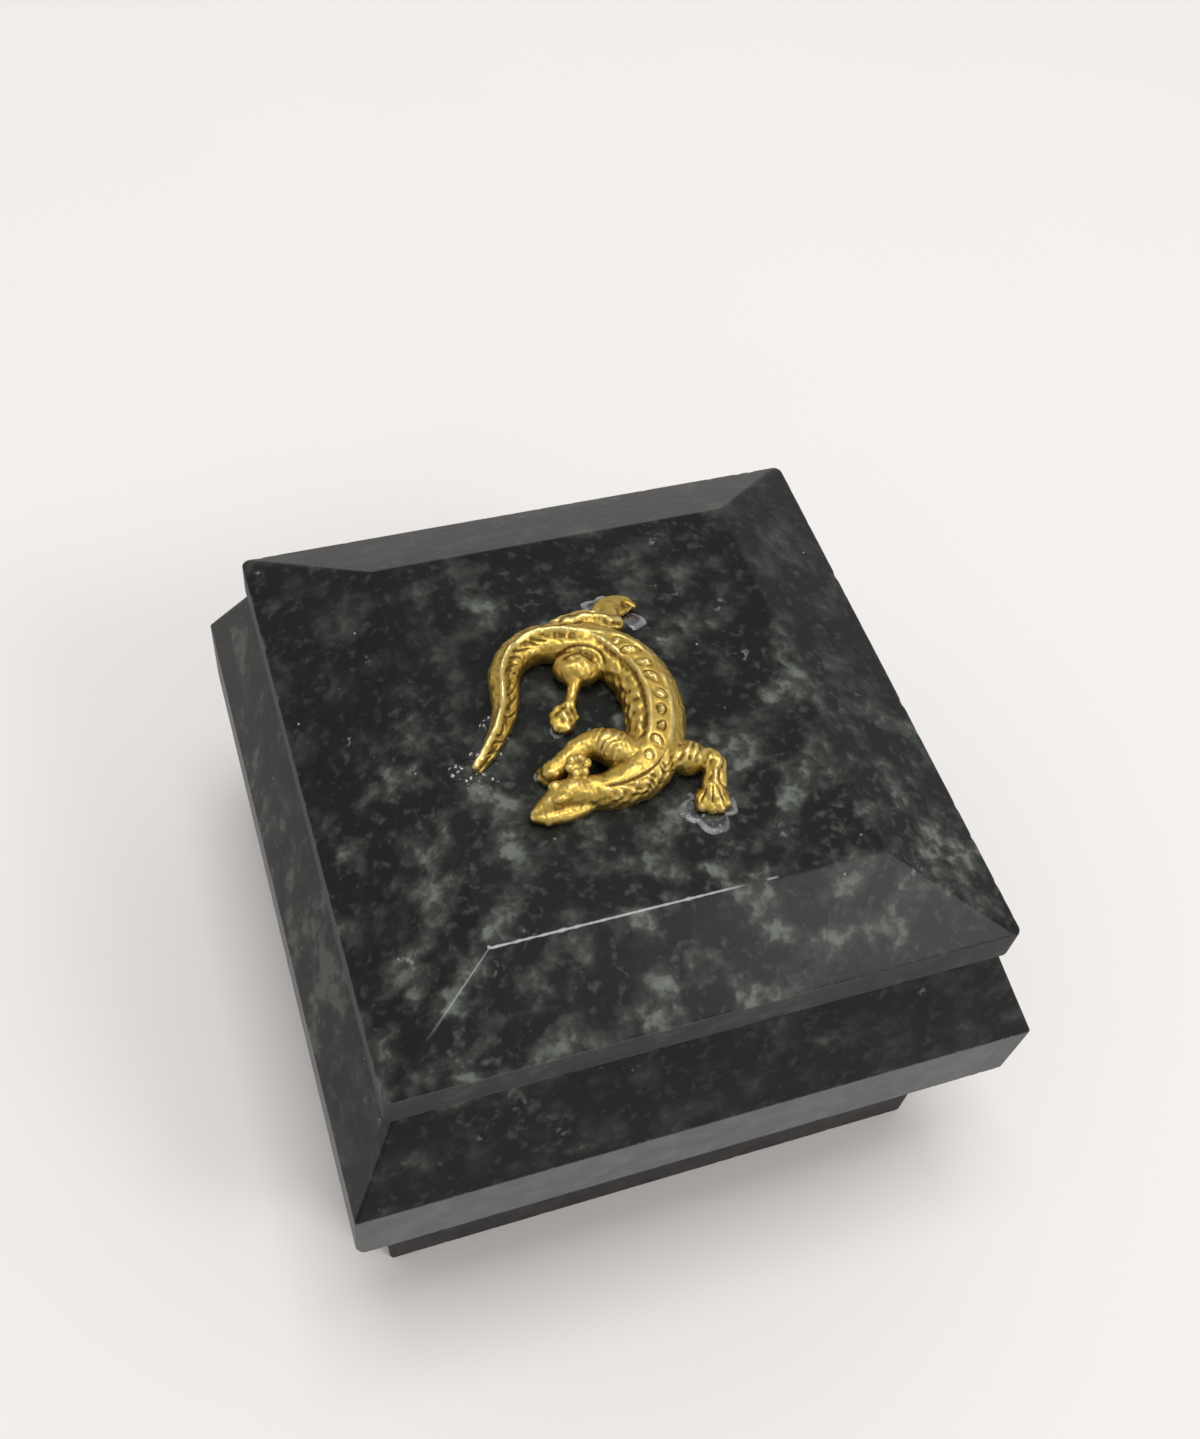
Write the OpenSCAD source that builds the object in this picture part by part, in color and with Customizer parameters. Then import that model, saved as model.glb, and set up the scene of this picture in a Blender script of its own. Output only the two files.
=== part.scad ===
// Square stone keepsake box with a lift-off bevelled lid and a cast metal lizard on top.
// Millimetres, +Z up, front towards -Y, origin under the middle of the box on the table.

/* [Walls] */
// Width over the upper walls at the rim
rim_w = 96.4; // [70:0.2:140]
// Depth over the upper walls at the rim
rim_d = 99.2; // [70:0.2:140]
// Thickness of the upper walls at the rim
wall_t = 9; // [6:0.5:12]
// How far the walls flare out from the rim to the band
flare_run = 8.1; // [4:0.1:12]
// Height of the sloping flare
flare_h = 17.4; // [10:0.2:25]
// Height of the upright band under the flare
band_h = 14; // [8:0.5:20]
// Radius that eases the upright corners of the band
band_corner_r = 1.4; // [0.5:0.1:3]

/* [Plinth] */
// Height of the recessed plinth
plinth_h = 34.2; // [20:0.2:50]
// How far the plinth stands in from the band at the two sides
plinth_side_inset = 6.9; // [4:0.1:10]
// How far the plinth stands in from the band at front and back
plinth_front_inset = 8; // [4:0.1:10]
// Radius that eases the upright corners of the plinth
plinth_corner_r = 0.8; // [0.3:0.1:2]
// Thickness of the floor slab
floor_t = 8; // [5:0.5:14]

/* [Lid] */
// How far the lid overhangs the rim at the two sides
lid_side_overhang = 1.8; // [0:0.1:4]
// How far the lid overhangs the rim at front and back
lid_front_overhang = 0.9; // [0:0.1:4]
// Height of the lid's upright edge
lid_edge_h = 6.5; // [4:0.1:10]
// Width of the long bevels at the two sides
lid_side_bevel = 19; // [10:0.5:26]
// Width of the bevels at front and back
lid_front_bevel = 15; // [8:0.5:24]
// How far the bevels rise to the flat top
lid_rise = 9; // [5:0.5:14]
// Radius that eases the upright corners of the lid
lid_corner_r = 1.4; // [0.5:0.1:3]
// Gap at the seat between lid and rim
seat_gap = 0.2; // [0.1:0.05:0.4]
// Thickness of the plate under the lid that locates it in the box
plate_t = 4; // [2.5:0.5:8]
// Play of the locating plate inside the walls, at each side
plate_play = 0.8; // [0.4:0.1:1.5]
// Chamfer on the plate's lower edge, which leads it into the box
plate_chamfer = 1; // [0.5:0.1:2]

/* [Lizard] */
// Thickness of the adhesive under the casting
glue_t = 0.3; // [0.2:0.05:0.6]
// Height of the raised spine lines
spine_ridge_h = 0.45; // [0.2:0.05:0.8]
// Width of a spine line at its foot
spine_line_w = 0.8; // [0.4:0.1:1.2]
// Distance between the two spine lines on the trunk
spine_gap = 3.3; // [2:0.1:4.5]
// How far the two lines lie off the middle of the trunk, towards the outside of the curl
spine_shift = 0.4; // [0:0.1:0.8]
// Radius of the beads between the spine lines
bead_r = 0.75; // [0.5:0.05:1]
// How far a bead stands up from the back
bead_h = 0.45; // [0.2:0.05:0.7]
// Number of beads from the shoulders to the hips
bead_count = 10; // [6:1:14]
// Radius of the toes
toe_r = 0.9; // [0.5:0.05:1.2]
// Number of lumps round the knob behind the head
knob_lumps = 6; // [4:1:8]
// Radius of the knob's lumps
knob_lump_r = 0.8; // [0.5:0.05:1.2]
// Radius of the ring that the lumps stand on
knob_ring_r = 1.3; // [0.8:0.1:1.8]
// How far the adhesive shows round a foot
glue_margin = 0.8; // [0.3:0.1:1.5]

/* [Hidden] */

$fn = 48;

// Plan sizes of the box
cavity_w = rim_w - 2 * wall_t;
cavity_d = rim_d - 2 * wall_t;
band_t = wall_t + flare_run;
band_w = cavity_w + 2 * band_t;
band_d = cavity_d + 2 * band_t;
plinth_w = band_w - 2 * plinth_side_inset;
plinth_d = band_d - 2 * plinth_front_inset;
lid_w = rim_w + 2 * lid_side_overhang;
lid_d = rim_d + 2 * lid_front_overhang;

// Heights above the table
rim_z = plinth_h + band_h + flare_h;
lid_z = rim_z + seat_gap;
plateau_z = lid_z + lid_edge_h + lid_rise;
casting_z = plateau_z + glue_t;

// Colours
polished = [0.17, 0.18, 0.17];
ground = [0.36, 0.36, 0.35];
gilt = [0.80, 0.62, 0.24];
clear_glue = [0.62, 0.64, 0.64];

// Stations of the casting from snout to tail tip: x, y, width, height.
// Their frame is the lid's middle, on top of the adhesive.
head_stations = [
    [-19.3, -16.8, 1.2, 1.5],
    [-18.3, -16.6, 2.0, 2.4],
    [-16.4, -16.0, 3.3, 3.3],
    [-14.2, -15.3, 4.5, 4.2],
    [-11.8, -15.1, 5.0, 4.5],
    [-9.4, -15.4, 5.0, 4.3]];
neck_stations = [
    [-6.8, -15.8, 5.8, 4.4],
    [-4.0, -15.3, 6.9, 4.9]];
trunk_stations = [
    [-0.5, -13.7, 8.2, 5.5],
    [2.4, -10.2, 9.0, 5.9],
    [4.3, -5.0, 9.6, 6.0],
    [4.8, 0.0, 9.4, 6.0],
    [3.8, 4.6, 9.2, 5.8],
    [0.9, 8.8, 8.6, 5.4]];
tail_stations = [
    [-4.0, 12.0, 7.4, 4.9],
    [-9.4, 13.2, 6.2, 4.5],
    [-13.5, 11.8, 5.6, 4.0],
    [-16.0, 8.7, 5.1, 3.7],
    [-16.9, 5.2, 4.7, 3.4],
    [-17.9, 2.0, 4.1, 3.0],
    [-19.8, -1.2, 3.2, 2.6],
    [-22.2, -4.2, 2.5, 2.0],
    [-24.8, -6.9, 1.5, 1.4]];
spine_stations = concat(head_stations, neck_stations, trunk_stations, tail_stations);
neck_first = len(head_stations);
trunk_first = neck_first + len(neck_stations);
trunk_last = trunk_first + len(trunk_stations) - 1;

// Limbs and other round stems: x, y, height of the middle, radius
outer_arm = [[3.0, -13.0, 2.4, 1.7], [5.6, -13.7, 2.4, 2.0], [8.6, -14.4, 2.3, 1.9],
             [10.2, -15.4, 2.0, 1.7], [9.9, -17.2, 1.7, 1.6], [9.0, -19.0, 1.3, 1.6],
             [8.5, -20.2, 0.9, 1.6]];
inner_arm = [[-1.5, -11.3, 2.6, 2.4], [-3.6, -9.6, 2.8, 2.6], [-5.4, -8.2, 2.8, 2.4],
             [-7.6, -7.7, 2.6, 1.9], [-9.8, -8.3, 2.3, 1.6], [-12.2, -9.6, 1.8, 1.6],
             [-14.2, -10.5, 1.3, 1.7]];
outer_haunch = [[-8.0, 14.7, 1.5, 0.9], [-5.0, 15.1, 2.0, 1.7], [-1.2, 15.1, 2.2, 2.0],
                [2.0, 14.5, 2.1, 1.9], [4.0, 14.1, 1.6, 1.6]];
inner_shin = [[-5.6, 5.0, 2.0, 1.6], [-6.2, 3.6, 1.6, 1.05], [-7.0, 2.2, 1.4, 0.9],
              [-7.8, 0.9, 1.1, 1.1]];
jaw = [[-18.9, -17.2, 0.8, 0.7], [-17.2, -17.8, 0.8, 0.95], [-14.6, -18.0, 0.9, 1.15],
       [-11.8, -17.7, 0.9, 1.15], [-9.4, -17.0, 1.0, 1.0]];

// Middle of the knob's rosette, and how far its ring of lumps lies below the lump in the middle
knob = [-10.8, -12.2, 4.7];
knob_drop = 0.25;

// Stems that taper straight from one ball to another
elbow_point = [[9.9, -15.2, 1.8, 1.6], [11.8, -15.1, 1.5, 0.55]];
outer_shin = [[3.9, 14.4, 1.5, 1.5], [4.4, 17.6, 0.9, 1.6]];
knob_stem = [[-11.8, -14.2, 2.0, 1.3], [-10.9, -12.4, 3.9, 1.2]];

// Swellings of the casting: x, y, height of the middle, half length, half width, half height, turn
thigh = [-4.7, 6.7, 2.0, 4.0, 2.9, 2.6, -20];
upper_arm = [6.7, -13.7, 2.1, 2.8, 2.6, 3.0, -15];
fan_foot = [8.2, -20.8, 0.5, 2.4, 2.2, 1.1, -8];
flipper = [5.2, 18.3, 0.7, 3.6, 2.3, 1.2, 3];
flipper_lip = [7.6, 18.0, 0.9, 1.7, 0.8, 0.9, -25];
paddle = [-9.3, -1.1, 0.9, 2.9, 2.3, 1.2, 57];
near_brow = [-14.3, -16.5, 3.4, 1.6, 0.9, 0.9, 8];
far_brow = [-14.6, -14.2, 3.2, 1.5, 0.9, 0.9, -8];
crown = [-12.4, -15.1, 3.7, 1.6, 1.5, 0.9, 0];
chin = [-16.8, -18.4, 0.6, 0.9, 0.6, 0.6, 20];

// Roots of the two front feet, as on a limb, and the tips of their toes: x, y
outer_hand_root = [8.4, -20.0, 0.9, 1.5];
outer_hand_tips = [[6.2, -21.5], [7.6, -22.3], [9.0, -22.5], [10.0, -21.9]];
inner_hand_root = [-14.2, -10.4, 1.2, 1.4];
inner_hand_tips = [[-15.3, -9.7], [-15.5, -10.6], [-15.0, -11.3]];

// A toe starts this share of the way from its root to its tip, with this share of the root's radius,
// and its tip stands this share of its own radius up
toe_start = 0.3;
toe_root_share = 0.7;
toe_lift = 0.6;

// Fineness of the casting: sides of its sections, and steps from station to station
flank_sides = 7;
limb_sides = 12;
oval_sides = 12;
ball_sides = 10;
bead_sides = 10;
steps = 3;
limb_steps = 2;
// Turns at which the rings of a limb's round end lie
cap_turns = [30, 55, 75];
// Share of the height that lies under the body's widest line
belly_share = 0.3;
// Stations over which the spine line parts into two on the neck, and joins again behind the hips
part_run = 3.5;
join_run = 1.2;
// Most that a spine line's height is of the body's height, and that half its foot is of half the width
ridge_share = 0.25;
foot_share = 0.25;
// Least distance of a line from the middle, as a multiple of half its foot
crest_share = 1.5;

// Point between b and c on the smooth curve through a, b, c and d
function curve(a, b, c, d, t) =
    0.5 * (2 * b + (c - a) * t + (2 * a - 5 * b + 4 * c - d) * t * t
           + (3 * b - a - 3 * c + d) * t * t * t);

// Smooth run through all the points of a list, with so many steps from each to the next
function smooth(pts, n) =
    let (last = len(pts) - 1)
    concat([for (i = [0 : last - 1], s = [0 : n - 1])
                curve(pts[max(i - 1, 0)], pts[i], pts[i + 1], pts[min(i + 2, last)], s / n)],
           [pts[last]]);

// Point of a run at a place between two of its points
function between(run, i) =
    let (k = floor(i))
    run[k] + (run[k + 1] - run[k]) * (i - k);

function unit(v) = v / norm(v);
function flat(p) = [p[0], p[1]];
function space(p) = [p[0], p[1], p[2]];
function heading(run, i) = unit(run[min(i + 1, len(run) - 1)] - run[max(i - 1, 0)]);

// Smooth step from 0 at 0 to 1 at 1
function ease(t) =
    let (c = max(0, min(1, t)))
    c * c * (3 - 2 * c);

// How far the spine line has parted into two at a place along the spine, counted in stations
function parting(at) =
    ease((at - trunk_first) / part_run + 1) * ease((trunk_last - at) / join_run + 1);

// Height of the spine lines, which start where the head ends
function ridge(at, height) = min(spine_ridge_h, height * ridge_share) * ease(at - neck_first + 1);

// Height of the body's oval at an angle round it, and at a distance from its middle
function oval_height(height, angle) = height * (belly_share + (1 - belly_share) * sin(angle));
function back_height(height, half, u) = oval_height(height, acos(u / half));

// One section of the body, across and up: from underneath up the right flank, over the spine lines
// and down the left flank
function body_profile(p, at) =
    let (half = p[2] / 2,
         apart = parting(at),
         foot = min(spine_line_w / 2, half * foot_share),
         line = max(spine_gap / 2 * apart, foot * crest_share),
         middle = spine_shift * apart,
         h = ridge(at, p[3]),
         right = acos((middle + line + foot) / half),
         left = acos((middle - line - foot) / half))
    concat([for (k = [0 : flank_sides - 1])
                let (angle = -90 + (right + 90) * k / flank_sides)
                [half * cos(angle), oval_height(p[3], angle)]],
           [for (q = [[line + foot, 0], [line, h], [line - foot, h * (1 - apart)],
                      [foot - line, h * (1 - apart)], [-line, h], [-line - foot, 0]])
                [middle + q[0], back_height(p[3], half, middle + q[0]) + q[1]]],
           [for (k = [1 : flank_sides - 1])
                let (angle = left + (270 - left) * k / flank_sides)
                [half * cos(angle), oval_height(p[3], angle)]]);

// Direction to the right of the path at a place on a run
function right_of(run, i) =
    let (t = heading([for (q = run) flat(q)], i))
    [t[1], -t[0]];

// One section of the body in its place
function body_ring(run, i) =
    let (p = run[i], across = right_of(run, i))
    [for (q = body_profile(p, i / steps))
        [p[0] + across[0] * q[0], p[1] + across[1] * q[0], q[1]]];

// One round section of a limb, square to its path
function limb_ring(run, i) =
    let (p = run[i],
         t = heading([for (q = run) space(q)], i),
         across = unit(cross(t, [0, 0, 1])),
         up = cross(across, t))
    [for (k = [0 : limb_sides - 1])
        let (angle = 360 * k / limb_sides)
        space(p) + p[3] * (across * cos(angle) + up * sin(angle))];

// Closed skin over a row of rings that all have the same number of points
module skin(rings) {
    n = len(rings[0]);
    last = len(rings) - 1;
    points = [for (ring = rings, p = ring) p];
    sides = [for (i = [0 : last - 1], k = [0 : n - 1], half = [0, 1])
                let (a = i * n + k, b = i * n + (k + 1) % n)
                half == 0 ? [a, b, a + n] : [b, b + n, a + n]];
    caps = [[for (k = [n - 1 : -1 : 0]) k], [for (k = [0 : n - 1]) last * n + k]];
    polyhedron(points, concat(sides, caps), convexity = 10);
}

// Rectangle with rounded corners, centred
module eased_rect(w, d, r) {
    square([w - 2 * r, d], center = true);
    square([w, d - 2 * r], center = true);
    for (x = [-1, 1], y = [-1, 1])
        translate([x * (w / 2 - r), y * (d / 2 - r)])
            circle(r);
}

// Block with an upright edge under four bevels and a flat top
module bevelled_block(w, d, edge, rise, bevel_x, bevel_y) {
    corners = [[-1, -1], [1, -1], [1, 1], [-1, 1]];
    levels = [[w / 2, d / 2, 0], [w / 2, d / 2, edge],
              [w / 2 - bevel_x, d / 2 - bevel_y, edge + rise]];
    points = [for (l = levels, c = corners) [c[0] * l[0], c[1] * l[1], l[2]]];
    walls = [for (l = [0, 1], k = [0 : 3])
                let (a = 4 * l + k, b = 4 * l + (k + 1) % 4)
                [a, a + 4, b + 4, b]];
    polyhedron(points, concat([[0, 1, 2, 3], [11, 10, 9, 8]], walls));
}

// Straight wall strip along X at the front, with the flare and band as its outer side and
// its ends mitred; inside_w is the length and inside_d the distance across at the inner faces
module flared_strip(inside_w, inside_d) {
    intersection() {
        translate([-inside_w / 2 - band_t, -inside_d / 2, plinth_h])
            rotate([90, 0, 90])
                linear_extrude(inside_w + 2 * band_t)
                    polygon([[0, 0], [0, band_h + flare_h], [-wall_t, band_h + flare_h],
                             [-band_t, band_h], [-band_t, 0]]);
        translate([0, 0, plinth_h])
            linear_extrude(band_h + flare_h)
                polygon([[-inside_w / 2, -inside_d / 2], [inside_w / 2, -inside_d / 2],
                         [inside_w / 2 + band_t, -inside_d / 2 - band_t],
                         [-inside_w / 2 - band_t, -inside_d / 2 - band_t]]);
        translate([0, 0, plinth_h])
            linear_extrude(band_h + flare_h)
                eased_rect(inside_w + 2 * band_t, inside_d + 2 * band_t, band_corner_r);
    }
}

// Plinth wall at the front, over the whole width
module plinth_long_wall() {
    intersection() {
        translate([-plinth_w / 2, -plinth_d / 2, 0])
            cube([plinth_w, (plinth_d - cavity_d) / 2, plinth_h]);
        linear_extrude(plinth_h)
            eased_rect(plinth_w, plinth_d, plinth_corner_r);
    }
}

// Plinth wall at the right, between the front and back walls
module plinth_short_wall() {
    translate([cavity_w / 2, -cavity_d / 2, 0])
        cube([(plinth_w - cavity_w) / 2, cavity_d, plinth_h]);
}

// Stem that tapers from one ball to another
module taper(balls) {
    hull()
        for (ball = balls)
            translate(space(ball))
                sphere(ball[3], $fn = ball_sides);
}

// Toes that fan out from the root of a foot
module toes(root, tips) {
    for (tip = tips) {
        out = flat(root) + (tip - flat(root)) * toe_start;
        taper([[out[0], out[1], root[2], root[3] * toe_root_share],
               [tip[0], tip[1], toe_r * toe_lift, toe_r]]);
    }
}

// Swelling of the casting, as a stretched ball
module swelling(form) {
    translate(space(form))
        rotate([0, 0, form[6]])
            scale([form[3], form[4], form[5]])
                sphere(1, $fn = oval_sides);
}

// Round end of a limb: rings that close in from the last one, so far round a quarter turn
function limb_cap(run, i, away) =
    let (p = run[i], t = heading([for (q = run) space(q)], i) * away)
    [for (turn = cap_turns)
        let (ring = limb_ring(run, i))
        [for (q = ring) space(p) + (q - space(p)) * cos(turn) + t * p[3] * sin(turn)]];

function backwards(list) = [for (i = [len(list) - 1 : -1 : 0]) list[i]];

// Round limb through its stations, with round ends
module limb(stations) {
    run = smooth(stations, limb_steps);
    last = len(run) - 1;
    skin(concat(backwards(limb_cap(run, 0, -1)),
                [for (i = [0 : last]) limb_ring(run, i)],
                limb_cap(run, last, 1)));
}

// Body of the casting, with its spine lines and the beads on its trunk
module casting_body() {
    run = smooth(spine_stations, steps);
    skin([for (i = [0 : len(run) - 1]) body_ring(run, i)]);
    for (b = [0 : bead_count - 1]) {
        i = (trunk_first + (trunk_last - trunk_first) * (b + 0.5) / bead_count) * steps;
        p = between(run, i);
        at = flat(p) + right_of(run, round(i)) * spine_shift;
        translate([at[0], at[1], p[3] + bead_h - bead_r])
            sphere(bead_r, $fn = bead_sides);
    }
}

// Rosette on the knob behind the head: a ring of lumps round one in the middle
module rosette() {
    translate(knob) {
        sphere(knob_lump_r, $fn = ball_sides);
        for (k = [0 : knob_lumps - 1])
            rotate([0, 0, 360 * k / knob_lumps])
                translate([knob_ring_r, 0, -knob_drop])
                    sphere(knob_lump_r, $fn = ball_sides);
    }
}

// Disc of adhesive under a place on the casting
module glue_disc(at, r) {
    color(clear_glue)
        translate([at[0], at[1], plateau_z])
            cylinder(h = glue_t, r = r);
}

module floor_slab() {
    color(ground)
        translate([-cavity_w / 2, -cavity_d / 2, 0])
            cube([cavity_w, cavity_d, floor_t]);
}

module plinth_front() { color(ground) plinth_long_wall(); }
module plinth_back() { color(ground) rotate([0, 0, 180]) plinth_long_wall(); }
module plinth_left() { color(ground) rotate([0, 0, 180]) plinth_short_wall(); }
module plinth_right() { color(ground) plinth_short_wall(); }

module upper_wall_front() { color(polished) flared_strip(cavity_w, cavity_d); }
module upper_wall_back() { color(polished) rotate([0, 0, 180]) flared_strip(cavity_w, cavity_d); }
module upper_wall_left() { color(polished) rotate([0, 0, -90]) flared_strip(cavity_d, cavity_w); }
module upper_wall_right() { color(polished) rotate([0, 0, 90]) flared_strip(cavity_d, cavity_w); }

module lid_slab() {
    color(polished)
        translate([0, 0, lid_z])
            intersection() {
                bevelled_block(lid_w, lid_d, lid_edge_h, lid_rise, lid_side_bevel, lid_front_bevel);
                linear_extrude(lid_edge_h + lid_rise)
                    eased_rect(lid_w, lid_d, lid_corner_r);
            }
}

module lid_locating_plate() {
    color(ground)
        translate([0, 0, lid_z])
            rotate([180, 0, 0])
                bevelled_block(cavity_w - 2 * plate_play, cavity_d - 2 * plate_play,
                               plate_t - plate_chamfer, plate_chamfer, plate_chamfer, plate_chamfer);
}

// The whole casting, filed flat underneath where it sits on the adhesive
module lizard() {
    color(gilt)
        translate([0, 0, casting_z])
            difference() {
                union() {
                    casting_body();
                    for (stations = [outer_arm, inner_arm, outer_haunch, inner_shin, jaw])
                        limb(stations);
                    for (balls = [elbow_point, outer_shin, knob_stem])
                        taper(balls);
                    for (form = [thigh, upper_arm, fan_foot, flipper, flipper_lip, paddle,
                                 near_brow, far_brow, crown, chin])
                        swelling(form);
                    toes(outer_hand_root, outer_hand_tips);
                    toes(inner_hand_root, inner_hand_tips);
                    rosette();
                }
                translate([-lid_w / 2, -lid_d / 2, -lid_rise])
                    cube([lid_w, lid_d, lid_rise]);
            }
}

// Two discs under the trunk, one station in from the shoulders and one from the hips
module adhesive_body() {
    for (p = [trunk_stations[1], trunk_stations[len(trunk_stations) - 2]])
        glue_disc(p, p[2] / 2 - glue_margin);
}

module adhesive_tail_tip() {
    tip = tail_stations[len(tail_stations) - 1];
    glue_disc(tip, tip[2] / 2 + glue_margin);
}

module adhesive_outer_front_foot() { glue_disc(fan_foot, fan_foot[4] + glue_margin); }
module adhesive_inner_front_foot() { glue_disc(inner_hand_root, inner_hand_root[3] + glue_margin); }
module adhesive_outer_hind_foot() { glue_disc(flipper, flipper[4] + glue_margin); }
module adhesive_inner_hind_foot() { glue_disc(paddle, paddle[4] + glue_margin); }

floor_slab();
plinth_front();
plinth_back();
plinth_left();
plinth_right();
upper_wall_front();
upper_wall_back();
upper_wall_left();
upper_wall_right();
lid_slab();
lid_locating_plate();
lizard();
adhesive_body();
adhesive_tail_tip();
adhesive_outer_front_foot();
adhesive_inner_front_foot();
adhesive_outer_hind_foot();
adhesive_inner_hind_foot();
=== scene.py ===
# %% [markdown]
# # A stone keepsake box with a cast lizard on its lid
# The real box is lapidary work. Strips of dark serpentine are sawn, ground flat and glued up,
# the sloping faces are polished, and a small gilt casting is stuck on the lid. This lesson
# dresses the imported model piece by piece. Each stone is a surface worked out with numpy, and
# the pattern in the stone is built from shader nodes. All sizes are in metres, in the frame
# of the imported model.

# %% Load the frame
import math
from collections import namedtuple

import bpy
import numpy as np
from mathutils import Matrix, Vector


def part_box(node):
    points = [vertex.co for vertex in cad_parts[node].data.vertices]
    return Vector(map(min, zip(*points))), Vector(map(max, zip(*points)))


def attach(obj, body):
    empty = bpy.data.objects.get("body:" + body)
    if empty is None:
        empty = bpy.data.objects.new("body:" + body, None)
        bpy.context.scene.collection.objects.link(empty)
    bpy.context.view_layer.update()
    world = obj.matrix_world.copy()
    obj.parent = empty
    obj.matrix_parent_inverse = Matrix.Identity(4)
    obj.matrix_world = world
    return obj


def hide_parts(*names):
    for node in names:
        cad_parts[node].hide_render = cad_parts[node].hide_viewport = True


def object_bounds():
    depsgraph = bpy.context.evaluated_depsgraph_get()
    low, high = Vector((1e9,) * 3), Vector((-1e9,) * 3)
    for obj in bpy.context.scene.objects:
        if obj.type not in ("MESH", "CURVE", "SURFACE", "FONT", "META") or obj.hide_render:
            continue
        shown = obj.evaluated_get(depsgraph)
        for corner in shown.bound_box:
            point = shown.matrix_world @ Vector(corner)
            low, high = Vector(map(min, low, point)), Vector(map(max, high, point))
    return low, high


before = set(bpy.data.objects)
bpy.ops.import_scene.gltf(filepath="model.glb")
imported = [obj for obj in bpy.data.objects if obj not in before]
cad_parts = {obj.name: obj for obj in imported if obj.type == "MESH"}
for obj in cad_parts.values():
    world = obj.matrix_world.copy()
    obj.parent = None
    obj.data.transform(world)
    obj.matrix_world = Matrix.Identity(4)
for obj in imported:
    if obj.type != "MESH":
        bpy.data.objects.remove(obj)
cad_low, cad_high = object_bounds()
MM = 0.001
print("CAD box, mm:", [round(side / MM, 1) for side in cad_high - cad_low])

# %% [markdown]
# ## Camera
# The box was looked down on from its front left, with the camera tipped a little to one side.
# A camera can be aimed with a constraint, but three angles say the same thing more plainly:
# a heading round the box, a pitch down to it and a roll about the line of sight. The three
# columns of the camera's matrix are its right, its up and the way back from what it looks at.

# %% Camera
CAMERA_AT = Vector((-67.2, -132.6, 283.4)) * MM
CAMERA_HEADING = math.radians(26.0)
CAMERA_PITCH = math.radians(54.27)
CAMERA_ROLL = math.radians(9.55)
CAMERA_LENS_MM = 39.95


def camera_matrix(place, heading, pitch, roll):
    """Right, up and backward axes from three angles, with the place as the last column."""
    forward = Vector((math.sin(heading) * math.cos(pitch), math.cos(heading) * math.cos(pitch),
                      -math.sin(pitch)))
    level_right = Vector((math.cos(heading), -math.sin(heading), 0))
    level_up = level_right.cross(forward)
    right = level_right * math.cos(roll) + level_up * math.sin(roll)
    up = level_up * math.cos(roll) - level_right * math.sin(roll)
    axes = Matrix((right, up, -forward)).transposed().to_4x4()
    return Matrix.Translation(place) @ axes


camera_data = bpy.data.cameras.new("camera")
camera_data.lens = CAMERA_LENS_MM
camera = bpy.data.objects.new("camera", camera_data)
camera.matrix_world = camera_matrix(CAMERA_AT, CAMERA_HEADING, CAMERA_PITCH, CAMERA_ROLL)
bpy.context.scene.collection.objects.link(camera)
bpy.context.scene.camera = camera
bpy.context.scene.view_settings.view_transform = "Standard"
print("Camera at, mm:", [round(c / MM, 1) for c in camera.location])

# %% [markdown]
# ## Small helpers for shader nodes
# Node trees are long to write out one socket at a time. These helpers add a node and take its
# inputs as a dictionary: a socket in it is linked, and any other value is set on the input.

# %% Node helpers
def add_node(tree, kind, inputs=None, **settings):
    """New node; sockets among the inputs are linked, other values are set."""
    node = tree.nodes.new(kind)
    for key, value in settings.items():
        setattr(node, key, value)
    for key, value in (inputs or {}).items():
        if isinstance(value, bpy.types.NodeSocket):
            tree.links.new(value, node.inputs[key])
        else:
            node.inputs[key].default_value = value
    return node


def arithmetic(tree, operation, first, second=0.0):
    """Result of one sum, product or other operation on two numbers."""
    return add_node(tree, "ShaderNodeMath", {0: first, 1: second}, operation=operation).outputs[0]


def product(tree, first, second):
    """Product of two numbers, each of them a socket or a plain value."""
    return arithmetic(tree, "MULTIPLY", first, second)


def soft_step(tree, value, low, high):
    """Smooth rise from 0 where the value is low to 1 where it is high."""
    node = add_node(tree, "ShaderNodeMapRange",
                    {"Value": value, "From Min": low, "From Max": high},
                    interpolation_type="SMOOTHSTEP")
    return node.outputs["Result"]


def span(tree, value, low, high):
    """Straight run from low where the value is 0 to high where it is 1."""
    node = add_node(tree, "ShaderNodeMapRange", {"Value": value, "To Min": low, "To Max": high})
    return node.outputs["Result"]


def blend(tree, share, first, second):
    """Colour between two colours."""
    node = add_node(tree, "ShaderNodeMix", {0: share, 6: first, 7: second}, data_type="RGBA")
    return node.outputs[2]


def noise(tree, place, scale, detail=3.0, roughness=0.55, output="Fac"):
    """Noise at so many blotches per millimetre, as a number or, from the output Color, as a colour."""
    node = add_node(tree, "ShaderNodeTexNoise",
                    {"Vector": place, "Scale": scale, "Detail": detail, "Roughness": roughness})
    return node.outputs[output]


def vector_math(tree, operation, inputs):
    """Node that works on vectors; its first two inputs are 0 and 1, and SCALE takes the input Scale."""
    return add_node(tree, "ShaderNodeVectorMath", inputs, operation=operation)


def bent_place(tree, place, scale, reach):
    """Place moved about by noise, so that a pattern read there has no straight edges."""
    shift = noise(tree, place, scale, 2, output="Color")
    centred = vector_math(tree, "SUBTRACT", {0: shift, 1: (0.5, 0.5, 0.5)})
    bend = vector_math(tree, "SCALE", {0: centred.outputs[0], "Scale": reach})
    return vector_math(tree, "ADD", {0: place, 1: bend.outputs[0]}).outputs[0]


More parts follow.
